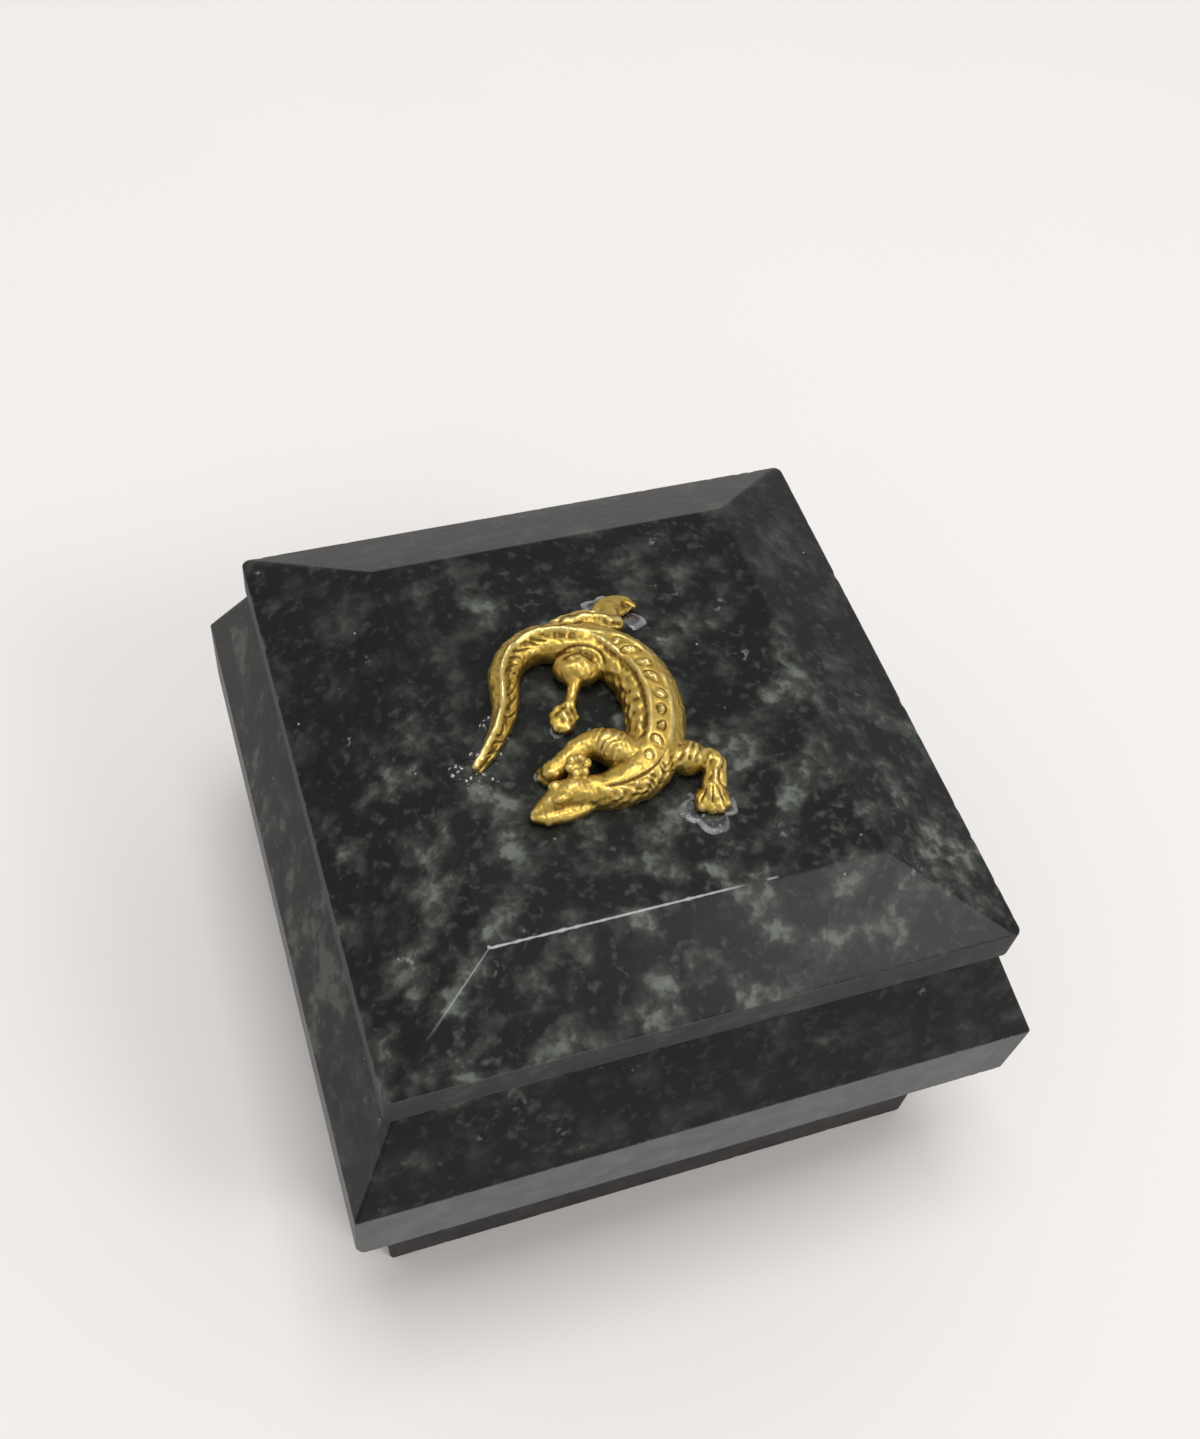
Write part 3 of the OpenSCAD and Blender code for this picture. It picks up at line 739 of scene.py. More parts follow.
def upper_wall(node, quarter_turns, seed):
    """One mitred strip, worked out as the front one and turned by quarter turns."""
    low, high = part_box("upper_wall_front")
    outer_x, outer_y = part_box("upper_wall_right")[1].x, -low.y
    if quarter_turns % 2:
        outer_x, outer_y = outer_y, outer_x
    inner = FLARE_RUN + WALL_T
    sizes = [(0, BAND_CORNER_R, low.z), (0, RIM_CORNER_R, low.z + BAND_H),
             (FLARE_RUN, RIM_CORNER_R, high.z), (inner, 0, high.z), (inner, 0, low.z)]
    corners = [(outer_x - inset, outer_y - inset, r, z) for inset, r, z in sizes]
    rows = profile_rows(corners, [1, 0, 0, 1, 1], True, [(), FLARE_SHARES, (), (), ()])
    outline = strip_outline(side_steps=260, corner_steps=7)
    cut = chipped(len(outline[0]), len(corners), WALL_ARRIS, WALL_CHIP, seed)
    points = stone_surface(outline, rows, cut)
    ends = points[:, [0, -1]]
    groove = MITRE_GROOVE * (outer_y + ends[..., 1] < GROOVE_REACH)
    ends[..., 0] -= np.sign(ends[..., 0]) * groove
    ends[..., 1] += groove
    points[:, [0, -1]] = ends
    turn = quarter_turns * math.pi / 2
    spin = np.array([[math.cos(turn), math.sin(turn), 0], [-math.sin(turn), math.cos(turn), 0], [0, 0, 1]])
    piece = new_piece(node + "_dressed", *closed_grid(points @ spin, True), POLISHED_WALL,
                      {"ground": along_rows(rows.ground, points),
                       "rub": along_rows(WALL_RUB * rows.arris, points)})
    fit_piece(piece, node, "box")


for turns, side in enumerate(["front", "right", "back", "left"]):
    upper_wall("upper_wall_" + side, turns, 51 + turns)

# %% [markdown]
# ## The lizard, first as lofts
# The casting was modelled in wax: a curved body with limbs pressed on. It can be sculpted by hand,
# but here each part is a section carried along a path. The body has ovals that sit on the lid, the
# limbs have circles, and thigh, shoulder and feet are ovals of their own. Stations are in
# millimetres from the middle of the lid, with heights from the underside of the casting.

# %% Lizard stations
# Snout to tail tip: x, y, width, height
SPINE = [(-19.3, -16.8, 1.2, 1.5), (-18.3, -16.6, 2.0, 2.4), (-16.4, -16.0, 3.3, 3.3),
         (-14.2, -15.3, 4.5, 4.2), (-11.8, -15.1, 5.0, 4.5), (-9.4, -15.4, 5.0, 4.3),
         (-6.8, -15.8, 5.8, 4.4), (-4.0, -15.3, 6.9, 4.9), (-0.5, -13.7, 8.2, 5.5),
         (2.4, -10.2, 9.0, 5.9), (4.3, -5.0, 9.6, 6.0), (4.8, 0.0, 9.4, 6.0),
         (3.8, 4.6, 9.2, 5.8), (0.9, 8.8, 8.6, 5.4), (-4.0, 12.0, 7.4, 4.9),
         (-9.4, 13.2, 6.2, 4.5), (-13.5, 11.8, 5.6, 4.0), (-16.0, 8.7, 5.1, 3.7),
         (-16.9, 5.2, 4.7, 3.4), (-17.9, 2.0, 4.1, 3.0), (-19.8, -1.2, 3.2, 2.6),
         (-22.2, -4.2, 2.5, 2.0), (-24.8, -6.9, 1.5, 1.4)]
SHOULDER, HIP = 8, 13
# Limbs and other round stems: x, y, height of the middle, radius
OUTER_ARM = [(3.0, -13.0, 2.4, 1.7), (5.6, -13.7, 2.4, 2.0), (8.6, -14.4, 2.3, 1.9),
             (10.2, -15.4, 2.0, 1.8), (9.8, -17.2, 1.7, 1.9), (9.0, -19.0, 1.3, 2.0),
             (8.5, -20.2, 0.9, 2.0)]
ELBOW = [(9.9, -15.2, 1.8, 1.6), (11.0, -15.2, 1.6, 1.1), (11.8, -15.1, 1.5, 0.55)]
INNER_ARM = [(-1.6, -11.7, 2.6, 2.6), (-3.7, -10.0, 2.8, 2.9), (-5.5, -8.6, 2.8, 2.7),
             (-7.7, -8.1, 2.6, 2.2), (-9.9, -8.6, 2.3, 1.9), (-12.2, -9.7, 1.8, 1.7),
             (-14.2, -10.5, 1.3, 1.7)]
OUTER_HAUNCH = [(-8.0, 14.7, 1.5, 0.9), (-5.0, 15.1, 2.0, 1.7), (-1.2, 15.1, 2.2, 2.0),
                (2.0, 14.5, 2.1, 1.9), (4.0, 14.1, 1.6, 1.6)]
OUTER_SHIN = [(3.9, 14.4, 1.5, 1.5), (3.9, 16.0, 1.2, 1.5), (4.4, 17.6, 0.9, 1.6)]
INNER_SHIN = [(-5.6, 5.0, 2.0, 1.6), (-6.2, 3.6, 1.6, 1.05), (-7.0, 2.2, 1.4, 0.9),
              (-7.8, 0.9, 1.1, 1.1)]
JAW = [(-18.9, -17.2, 0.8, 0.7), (-17.2, -17.8, 0.8, 0.95), (-14.6, -18.0, 0.9, 1.15),
       (-11.8, -17.7, 0.9, 1.15), (-9.4, -17.0, 1.0, 1.0)]
KNOB_STEM = [(-11.8, -14.2, 2.0, 1.3), (-11.3, -13.2, 3.0, 1.2), (-10.9, -12.4, 3.9, 1.2)]
STEMS = [OUTER_ARM, ELBOW, INNER_ARM, OUTER_HAUNCH, OUTER_SHIN, INNER_SHIN, JAW, KNOB_STEM]
# Toes fan out from a root to their tips: x, y, height, radius at the root, then the tips
FEET = [((8.4, -20.0, 0.9, 1.4), [(6.2, -21.5), (7.6, -22.3), (9.0, -22.5), (10.0, -21.9)]),
        ((-14.2, -10.4, 1.2, 1.4), [(-15.3, -9.7), (-15.5, -10.6), (-15.0, -11.3)])]
TOE_R = 0.9
TOE_TIP_H = TOE_R * 0.6
# Ovals: x, y, height of the middle, half length, half width, half height, turn in degrees
THIGH = (-4.7, 6.7, 2.0, 4.0, 2.9, 2.6, -20)
FLIPPER = (5.2, 18.3, 0.7, 3.6, 2.3, 1.2, 3)
UPPER_ARM = (6.7, -13.7, 2.1, 2.8, 2.6, 3.0, -15)
FAN_FOOT = (8.3, -20.6, 0.6, 2.8, 2.3, 1.6, -8)
FLIPPER_LIP = (7.6, 18.0, 0.9, 1.7, 0.8, 0.9, -25)
PADDLE = (-9.3, -1.1, 0.9, 2.9, 2.3, 1.2, 57)
NEAR_BROW = (-14.3, -16.5, 3.4, 1.6, 0.9, 0.9, 8)
FAR_BROW = (-14.6, -14.2, 3.2, 1.5, 0.9, 0.9, -8)
CROWN = (-12.4, -15.1, 3.7, 1.6, 1.5, 0.9, 0)
CHIN = (-16.8, -18.4, 0.6, 0.9, 0.6, 0.6, 20)
NEAR_EYE = (-15.4, -17.0, 2.6, 0.55, 0.45, 0.5, 0)
OVALS = [THIGH, FLIPPER, UPPER_ARM, FAN_FOOT, FLIPPER_LIP, PADDLE, NEAR_BROW, FAR_BROW, CROWN, CHIN, NEAR_EYE]
# Rosette on the knob: its middle, the ring of lumps, how far that ring tilts and its middle is dished
KNOB = (-10.8, -12.2, 4.7)
KNOB_LUMPS = 6
KNOB_LUMP_R = 0.8
KNOB_RING_R = 1.3
KNOB_RING_DROP = 0.2
KNOB_TILT = 0.2
KNOB_TILT_WAY = 0.6
KNOB_DISH = 0.65
print("Stations:", len(SPINE), "along the spine,", len(OVALS), "ovals")

# %% [markdown]
# ### Sections along paths
# A smooth curve passes through all the stations. A curve object with a bevel could carry a circle along
# it. The body needs ovals that dip below the seat and the limbs need round ends, so two functions carry
# the sections, and a third makes the ovals that stand alone.

# %% Lofts
LOFT_STEPS = 14
BELLY = 0.30
BODY_SIDES = 48
LIMB_SIDES = 24
TOE_SIDES = 16
LIMB_END_RINGS = 6
LIMB_END_TURN = 0.48 * np.pi
OVAL_RINGS = 17
OVAL_SIDES = 32
OVAL_END = 0.49 * np.pi


def smooth_run(stations, steps):
    """Curve through all stations: half of 2b + (c - a)t + (2a - 5b + 4c - d)t^2 + (3b - a - 3c + d)t^3
    between stations b and c, with a before and d after them."""
    points = np.asarray(stations, float)
    padded = np.concatenate([points[:1], points, points[-1:]])
    a, b, c, d = (padded[k:len(padded) - 3 + k, None] for k in range(4))
    t = np.linspace(0, 1, steps, endpoint=False)[None, :, None]
    curve = 0.5 * (2 * b + (c - a) * t + (2 * a - 5 * b + 4 * c - d) * t ** 2
                   + (3 * b - a - 3 * c + d) * t ** 3)
    return np.concatenate([curve.reshape(-1, points.shape[1]), points[-1:]])


def headings(run):
    """Direction of a run at each of its points, one long."""
    step = np.gradient(run, axis=0)
    return step / np.linalg.norm(step, axis=1, keepdims=True)


def body_loft(run, sides):
    """Ovals along the spine: half width * cos(a) across, height * (belly + (1 - belly) sin(a)) up."""
    way = headings(run[:, :2])
    angle = np.linspace(0, 2 * np.pi, sides, endpoint=False)
    across = run[:, 2:3] / 2 * np.cos(angle)
    up = run[:, 3:4] * (BELLY + (1 - BELLY) * np.sin(angle))
    return np.stack([run[:, 0:1] + way[:, 1:2] * across, run[:, 1:2] - way[:, 0:1] * across, up], -1)


def limb_loft(stations, sides):
    """Circles square to the path; at both ends they close in over a quarter turn, as
    r cos(turn) wide and r sin(turn) further on."""
    run = smooth_run(stations, LOFT_STEPS)
    way = headings(run[:, :3])
    turn = np.linspace(0, LIMB_END_TURN, LIMB_END_RINGS + 1)[1:, None]
    first = np.concatenate([run[0, :3] - way[0] * run[0, 3] * np.sin(turn), run[0, 3] * np.cos(turn)], 1)
    last = np.concatenate([run[-1, :3] + way[-1] * run[-1, 3] * np.sin(turn), run[-1, 3] * np.cos(turn)], 1)
    path = np.concatenate([first[::-1], run, last])
    way = np.concatenate([np.repeat(way[:1], len(first), 0), way, np.repeat(way[-1:], len(last), 0)])
    across = np.cross(way, [0, 0, 1.0])
    across /= np.linalg.norm(across, axis=1, keepdims=True)
    above = np.cross(across, way)
    angle = np.linspace(0, 2 * np.pi, sides, endpoint=False)[None, :, None]
    outward = across[:, None] * np.cos(angle) + above[:, None] * np.sin(angle)
    return path[:, None, :3] + path[:, None, 3:] * outward


def oval(x, y, z, long, wide, tall, turn):
    """Ellipsoid from its two angles, turned about the upright."""
    tip = np.linspace(-OVAL_END, OVAL_END, OVAL_RINGS)[:, None]
    round_it = np.linspace(0, 2 * np.pi, OVAL_SIDES, endpoint=False)
    u, v = long * np.cos(tip) * np.cos(round_it), wide * np.cos(tip) * np.sin(round_it)
    c, s = math.cos(math.radians(turn)), math.sin(math.radians(turn))
    return np.stack([x + c * u - s * v, y + s * u + c * v, z + tall * np.sin(tip) + 0 * u], -1)


def knob_lofts():
    """Ring of round lumps about a flatter middle: a lump at the angle a stands ring radius * (cos, sin)
    away from the middle, and tilt * cos(a - way) above the ring."""
    x, y, z = KNOB
    turns = np.arange(KNOB_LUMPS) * 2 * np.pi / KNOB_LUMPS
    ring = [(x + KNOB_RING_R * math.cos(a), y + KNOB_RING_R * math.sin(a),
             z - KNOB_RING_DROP + KNOB_TILT * math.cos(a - KNOB_TILT_WAY)) for a in turns]
    lumps = [oval(*middle, KNOB_LUMP_R, KNOB_LUMP_R, KNOB_LUMP_R, 0) for middle in ring]
    return lumps + [oval(x, y, z - KNOB_DISH, KNOB_RING_R, KNOB_RING_R, KNOB_LUMP_R, 0)]


def lizard_lofts():
    """All the grids that make up the casting."""
    toes = [[root, (*tip, TOE_TIP_H, TOE_R)] for root, tips in FEET for tip in tips]
    return ([body_loft(smooth_run(SPINE, LOFT_STEPS), BODY_SIDES)]
            + [limb_loft(stations, LIMB_SIDES) for stations in STEMS]
            + [limb_loft(stations, TOE_SIDES) for stations in toes]
            + [oval(*sizes) for sizes in OVALS] + knob_lofts())


lofts = lizard_lofts()
print("Lofts:", len(lofts), "with", sum(grid.shape[0] * grid.shape[1] for grid in lofts), "points")

# %% [markdown]
# ## One skin for the casting
# The lofts run into each other, as pressed wax does. A voxel remesh gives them one even skin, and
# a few rounds of smoothing blend the joins. The remesh is a modifier whose result is read
# back as a plain mesh, so that nothing is left to work out later.

# %% One skin
SKIN_VOXEL = 0.19 * MM
SKIN_SMOOTHING = 5
SKIN_SMOOTHING_SHARE = 0.5


def one_skin(grids, seat):
    """Remeshed and smoothed mesh of the joined lofts, lifted from millimetres above the seat to its place."""
    points, faces, count = [], [], 0
    for grid in grids:
        grid_points, grid_face_list = closed_grid(grid, False)
        points.append(grid_points)
        faces += [[corner + count for corner in face] for face in grid_face_list]
        count += len(grid_points)
    mesh = bpy.data.meshes.new("lizard_lofts")
    mesh.from_pydata((np.concatenate(points) * MM + np.array([0, 0, seat])).tolist(), [], faces)
    rough = bpy.data.objects.new("lizard_lofts", mesh)
    bpy.context.scene.collection.objects.link(rough)
    remesh = rough.modifiers.new("skin", "REMESH")
    remesh.mode = "VOXEL"
    remesh.voxel_size = SKIN_VOXEL
    even = rough.modifiers.new("even", "SMOOTH")
    even.factor = SKIN_SMOOTHING_SHARE
    even.iterations = SKIN_SMOOTHING
    view = bpy.context.evaluated_depsgraph_get()
    skin = bpy.data.meshes.new_from_object(rough.evaluated_get(view))
    bpy.data.objects.remove(rough)
    return skin


casting_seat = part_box("lizard")[0].z
lizard_mesh = one_skin(lofts, casting_seat)
print("Skin of the casting:", len(lizard_mesh.vertices), "points")

# %% [markdown]
# ## Chasing the casting
# The wax was worked with points and gouges along the spine and the limbs. That could be sculpted with
# brushes. Here each point of the skin finds its place along and across the nearest path, and a height is
# worked out from those two numbers. Slow random relief then takes the evenness off again.

# %% Places along a path
PathSpots = namedtuple("PathSpots", "along across station away run")


def along_path(points, stations):
    """For every point, by the nearest of the path's close samples: length along the path, place across
    it (right of the way is positive), station number, distance in plan, and the path's values there."""
    run = smooth_run(stations, LOFT_STEPS)
    flat = run[:, :2].astype(np.float32)
    length = np.concatenate([[0], np.cumsum(np.linalg.norm(np.diff(flat, axis=0), axis=1))])
    gap = ((points[:, None, :2] - flat[None]) ** 2).sum(-1)
    nearest = gap.argmin(1)
    way = headings(flat)[nearest]
    off = points[:, :2] - flat[nearest]
    across = off[:, 0] * way[:, 1] - off[:, 1] * way[:, 0]
    onward = off[:, 0] * way[:, 0] + off[:, 1] * way[:, 1]
    away = np.sqrt(gap.min(1))
    return PathSpots(length[nearest] + onward, across, nearest / LOFT_STEPS, away, run[nearest])


def rise(value, low, high):
    """Smooth step from 0 at low to 1 at high."""
    t = np.clip((value - low) / (high - low), 0, 1)
    return t * t * (3 - 2 * t)


def bump_line(offset, width):
    """Bell curve: 1 on the line and near 0 two widths away."""
    return np.exp(-(offset / width) ** 2)


def hammered(points, wave, count, seed):
    """Random relief: a sum of cosine waves in space with random directions and phases."""
    draw = np.random.default_rng(seed)
    way = draw.normal(size=(3, count))
    way *= 2 * np.pi / (wave * draw.uniform(0.7, 1.4, count)) / np.linalg.norm(way, axis=0)
    return np.cos(points @ way + draw.uniform(0, 2 * np.pi, count)).sum(1) / math.sqrt(count / 2)


print("Close samples along the spine:", len(smooth_run(SPINE, LOFT_STEPS)))

# %% [markdown]
# ### The back
# Two raised lines border the back, with a row of dimpled beads between them and a hollow below the inner
# one. On the neck the outer line becomes a crease, with scales below it. Beads could be little spheres
# set along a curve, but as part of one height they melt into the back, as cast ones do.

# %% The back
BAND_HALF = 1.65
BAND_SHIFT = 0.4
LINE_H = 0.25
LINE_W = 0.36
INNER_LINE_SHARE = 0.8
INNER_LINE_W = 1.3 * LINE_W
CREASE_H = 0.30
CREASE_W = 0.24
HOLLOW_H = 0.32
HOLLOW_W = 0.55
HOLLOW_OFF = 0.85
FLANK_H = 0.075
BEAD_PITCH = 3.0
BEAD_R = 0.82
BEAD_H = 0.45
BEAD_RING_H = 0.09
SCALE_H = 0.18
SCALE_PITCH = 1.7
SCALE_ROW_H = 1.9


def on_neck(station):
    """1 on the neck, 0 on the head and on the trunk."""
    return rise(station, 5.2, 6.2) * rise(station, SHOULDER + 1.2, SHOULDER)


def beside_band(station, half):
    """1 along the trunk, where the band between the lines has its width."""
    return rise(half, 0.4, 1.4) * rise(station, SHOULDER + 0.2, SHOULDER + 1.4)


def back_lines(points, station, side, half):
    """Bell curves across the back: raised lines at side = -half and half, the crease of the neck in place
    of the outer line, and a wide hollow below the inner line."""
    inner = bump_line(side + half, INNER_LINE_W) * rise(station, SHOULDER + 0.2, SHOULDER + 1.6)
    outer = bump_line(side - half, LINE_W) * rise(station, SHOULDER - 0.4, SHOULDER + 1.0)
    uneven = 1 + 0.3 * hammered(points, 4.0, 24, 8)
    lines = LINE_H * np.maximum(INNER_LINE_SHARE * inner, outer) * uneven
    crease = CREASE_H * bump_line(side - half, CREASE_W) * on_neck(station)
    hollow = HOLLOW_H * bump_line(side + half + HOLLOW_OFF, HOLLOW_W) * beside_band(station, half)
    return lines - crease - hollow


def spine_beads(points, along, side):
    """Row of beads along side = 0, a little out of line and uneven: each is a round rise with a dimple
    off its middle and a ring round it."""
    sway = 0.22 * hammered(points, 4.5, 24, 13)
    onto = (along / BEAD_PITCH % 1 - 0.5) * BEAD_PITCH
    reach = np.hypot(onto + 0.25 * side + sway, side - sway)
    dimple = np.hypot(onto - 0.22, side + 0.20)
    round_rise = rise(reach, BEAD_R, 0.25) - 0.5 * rise(dimple, 0.55, 0.05)
    uneven = 1 + 0.25 * hammered(points, 1.5, 32, 3) + 0.18 * hammered(points, 5.0, 24, 16)
    return (BEAD_H * round_rise - BEAD_RING_H * bump_line(reach - 1.0, 0.16)) * uneven


def neck_scales(points, spots, side, half, wander):
    """Scales below the crease: a sine wave along the neck times one up its side, both out of line."""
    rows = np.sin(2 * np.pi * (spots.along + wander) / SCALE_PITCH)
    rows = rows * np.sin(2 * np.pi * (points[:, 2] + wander) / SCALE_ROW_H)
    return SCALE_H * rows * on_neck(spots.station) * rise(side - half, 0.2, 0.7)


def rough_flank(points, station, side, half):
    """Fine relief on the inner flank, below the hollow."""
    return FLANK_H * hammered(points, 1.5, 40, 15) * rise(-side - half, 0.9, 1.5) * beside_band(station, half)


print("Beads are", BEAD_PITCH, "mm apart in a band of", 2 * BAND_HALF, "mm")

# %% [markdown]
# ### The tail, and the whole spine
# Past the hip the band closes to one crest with a trough beside it, and gouge strokes slant away from the
# crest. The strokes could be an array along a curve. A slanted length that repeats gives the same, and
# random relief breaks some of them off. The sum of all this is then limited to where it belongs.

# %% The tail and the whole spine
CREST_H = 0.30
CREST_W = 0.42
TROUGH_H = 0.26
TROUGH_W = 0.6
TROUGH_OFF = 1.25
STROKE_PITCH = 2.1
STROKE_H = 0.26
STROKE_W = 0.14
STROKE_SLANT = 1.4
OUTER_STROKE_SHARE = 0.3
# Hammer marks: height, wave length, number of waves, seed
HAMMER_MARKS = [(0.036, 2.2, 48, 5), (0.020, 0.9, 48, 6)]


def tail_crest(station, side):
    """Bell curve on side = 0 past the hip, with a wider trough on its inner side."""
    crest = CREST_H * bump_line(side, CREST_W) - TROUGH_H * bump_line(side + TROUGH_OFF, TROUGH_W)
    return crest * rise(station, HIP + 0.2, HIP + 1.4)


def tail_strokes(points, spots, side, level, wander):
    """Grooves where along + slant * |side| passes half a pitch; shorter on the inner side, faint on the
    outer one, and broken off at random."""
    slanted = spots.along + STROKE_SLANT * np.abs(side) + 0.9 * wander
    groove = bump_line(slanted / STROKE_PITCH % 1 - 0.5, STROKE_W)
    on_tail = rise(spots.station, HIP + 0.9, HIP + 2.0)
    beside = rise(np.abs(side), 0.4, 0.9) * rise(level, 0.15, 0.4)
    broken = rise(hammered(points, 2.6, 32, 7), -1.5, 0.3)
    share = np.where(side < 0, rise(np.abs(side), 2.5, 1.9), OUTER_STROKE_SHARE)
    return -STROKE_H * groove * on_tail * beside * broken * share


def chased_spine(points):
    """Heights along the spine in millimetres: lines, crest and beads on top of the body; strokes, scales
    and flank anywhere on it; hammer marks all over, but fainter between the lines."""
    spots = along_path(points, SPINE)
    station = spots.station
    side = spots.across - BAND_SHIFT
    level = points[:, 2] / spots.run[:, 3]
    on_body = rise(spots.run[:, 2] / 2 - np.abs(spots.across), -0.3, 0.3)
    on_back = rise(level, 0.50, 0.74) * on_body
    on_trunk = rise(station, SHOULDER - 0.5, SHOULDER + 0.6) * rise(station, HIP + 0.2, HIP - 0.6)
    half = BAND_HALF * rise(station, SHOULDER - 3.2, SHOULDER + 0.6) * rise(station, HIP + 0.9, HIP - 0.6)
    wander = 0.45 * hammered(points, 3.5, 32, 9)
    on_top = (back_lines(points, station, side, half) + tail_crest(station, side)
              + spine_beads(points, spots.along, side) * on_trunk)
    around = (tail_strokes(points, spots, side, level, wander)
              + neck_scales(points, spots, side, half, wander)
              + rough_flank(points, station, side, half))
    marks = sum(height * hammered(points, *waves) for height, *waves in HAMMER_MARKS)
    in_band = on_trunk * on_back * rise(half + 0.3 - np.abs(side), 0, 0.3)
    return on_top * on_back + around * on_body + marks * (1 - 0.7 * in_band)


print("Strokes on the tail are", STROKE_PITCH, "mm apart")

# %% [markdown]
# ### Limbs and feet
# Arms and haunch carry strokes along or across them, the thigh is outlined with two grooves, the fan foot
# has grooves between its toes and the flipper a dent. Each is a short formula of a place in plan, and
# tables say where it goes, so that one more stroke is one more row.

# %% Limbs and feet
# Strokes: path, first and last station, pitch, depth, whether they run lengthwise
LIMB_STROKES = [(OUTER_ARM, 0.8, 2.4, 1.5, 0.11, False), (OUTER_ARM, 3.4, 5.2, 1.5, 0.13, True),
                (INNER_ARM, 0.9, 2.3, 1.3, 0.075, False), (OUTER_HAUNCH, 0.8, 4.0, 1.5, 0.17, True)]
# Grooves of the thigh: share of its half length and half width, width, depth
THIGH_GROOVES = [(0.55, 0.13, 0.40), (1.0, 0.07, 0.24)]
# Rough patches: oval, reach, height, wave length, seed
ROUGH_PATCHES = [(THIGH, 2.2, 0.05, 1.6, 14), (PADDLE, 2.6, 0.17, 1.7, 12)]
TOE_ROOT = (8.5, -18.6)
TOE_SPREAD = 30
TOE_GROOVE_H = 0.30
TOE_GROOVE_W = 0.11
FLIPPER_DENT = (FLIPPER[0] + 1.9, FLIPPER[1] - 0.7)
FLIPPER_DENT_R = 1.0
FLIPPER_DENT_H = 0.42


def limb_strokes(points, stations, first, last, pitch, depth, lengthwise):
    """Cosine strokes on a limb between two of its stations, along it or across it, on its own skin."""
    spots = along_path(points, stations)
    own = rise(spots.run[:, 3] - spots.away, -0.1, 0.5) * rise(points[:, 2] - spots.run[:, 2], -0.6, 0.4)
    phase = spots.across if lengthwise else spots.along + 0.5 * spots.across
    phase = phase + 0.25 * hammered(points, 3.0, 24, 4)
    within = rise(spots.station, first - 0.4, first) * rise(spots.station, last + 0.4, last)
    return depth * np.cos(2 * np.pi * phase / pitch) * own * within


def dent(points, x, y, reach):
    """Round dent about a place in plan: 1 in its middle and near 0 at twice its reach."""
    return np.exp(-((points[:, 0] - x) ** 2 + (points[:, 1] - y) ** 2) / reach ** 2)


def oval_groove(points, sizes, share, width):
    """Groove round the far half of an oval in plan, at a share of the oval's half length and half width."""
    x, y, _, long, wide, _, turn = sizes
    c, s = math.cos(math.radians(turn)), math.sin(math.radians(turn))
    u = c * (points[:, 0] - x) + s * (points[:, 1] - y)
    v = c * (points[:, 1] - y) - s * (points[:, 0] - x)
    return -bump_line(np.hypot(u / long, v / wide) - share, width) * rise(v / wide, -0.2, 0.3)


def fan_grooves(points, x, y, spread):
    """Grooves that run forwards from a root in plan, so many degrees apart, to about 3.5 mm from it."""
    off_x, off_y = points[:, 0] - x, points[:, 1] - y
    turn = np.arctan2(off_x, -off_y) / math.radians(spread) % 1
    forward = rise(-off_y, 0.7, 1.7) * rise(np.hypot(off_x, off_y), 3.8, 3.2)
    return -bump_line(turn - 0.5, TOE_GROOVE_W) * forward


def chased_limbs(points):
    """Sum of the strokes, grooves, rough patches and the dent, in millimetres."""
    heights = np.zeros(len(points))
    for strokes in LIMB_STROKES:
        heights += limb_strokes(points, *strokes)
    for share, width, depth in THIGH_GROOVES:
        heights += depth * oval_groove(points, THIGH, share, width)
    for form, reach, height, wave, seed in ROUGH_PATCHES:
        heights += height * hammered(points, wave, 32, seed) * dent(points, form[0], form[1], reach)
    heights += TOE_GROOVE_H * fan_grooves(points, *TOE_ROOT, TOE_SPREAD)
    return heights - FLIPPER_DENT_H * dent(points, *FLIPPER_DENT, FLIPPER_DENT_R)


print("Stroked stretches on the limbs:", len(LIMB_STROKES))

# %% [markdown]
# ### Moving the skin
# A Displace modifier moves a skin by a texture. Here the heights are known at every point, so all points
# move along their normals in one go, and the underside is filed flat for its seat. A point that lies
# below the mean of its neighbours is in a hollow, and that number stays on the mesh for the gilding.

# %% Moving the skin
SEAT_BLEND = 0.5
HOLLOW_ROUNDS = 4
HOLLOW_FULL = 0.12
CHASING_FULL = 0.45


def mesh_array(items, name, width):
    """One property of every point or edge of a mesh as an array."""
    kind = np.int32 if name == "vertices" else np.float32
    values = np.empty(len(items) * width, kind)
    items.foreach_get(name, values)
    return values.reshape(-1, width)


def neighbour_mean(values, edges):
    """Mean over the neighbours of every point."""
    total = np.zeros_like(values)
    np.add.at(total, edges[:, 0], values[edges[:, 1]])
    np.add.at(total, edges[:, 1], values[edges[:, 0]])
    return total / np.bincount(edges.ravel(), minlength=len(values))[:, None]


def chase(mesh, seat):
    """Moves the skin by the chased heights, files it flat at the seat, notes how far each point lies below
    the smoothed skin less how far it was raised, and returns the lowest and highest place."""
    points = mesh_array(mesh.vertices, "co", 3) / MM
    points[:, 2] -= seat / MM
    normals = mesh_array(mesh.vertex_normals, "vector", 3)
    heights = (chased_spine(points) + chased_limbs(points)) * rise(points[:, 2], 0.0, SEAT_BLEND)
    points += normals * heights[:, None]
    points[:, 2] = np.maximum(points[:, 2], 0)
    edges = mesh_array(mesh.edges, "vertices", 2)
    smoothed = points
    for _ in range(HOLLOW_ROUNDS):
        smoothed = neighbour_mean(smoothed, edges)
    depth = ((smoothed - points) * normals).sum(1)
    points[:, 2] += seat / MM
    mesh.vertices.foreach_set("co", (points * MM).astype(np.float32).ravel())
    hollow = np.clip(depth / HOLLOW_FULL - heights / CHASING_FULL, -1, 1)
    mesh.attributes.new("hollow", "FLOAT", "POINT").data.foreach_set("value", hollow)
    mesh.polygons.foreach_set("use_smooth", np.ones(len(mesh.polygons), bool))
    mesh.update()
    return points[:, 2].min(), points[:, 2].max()


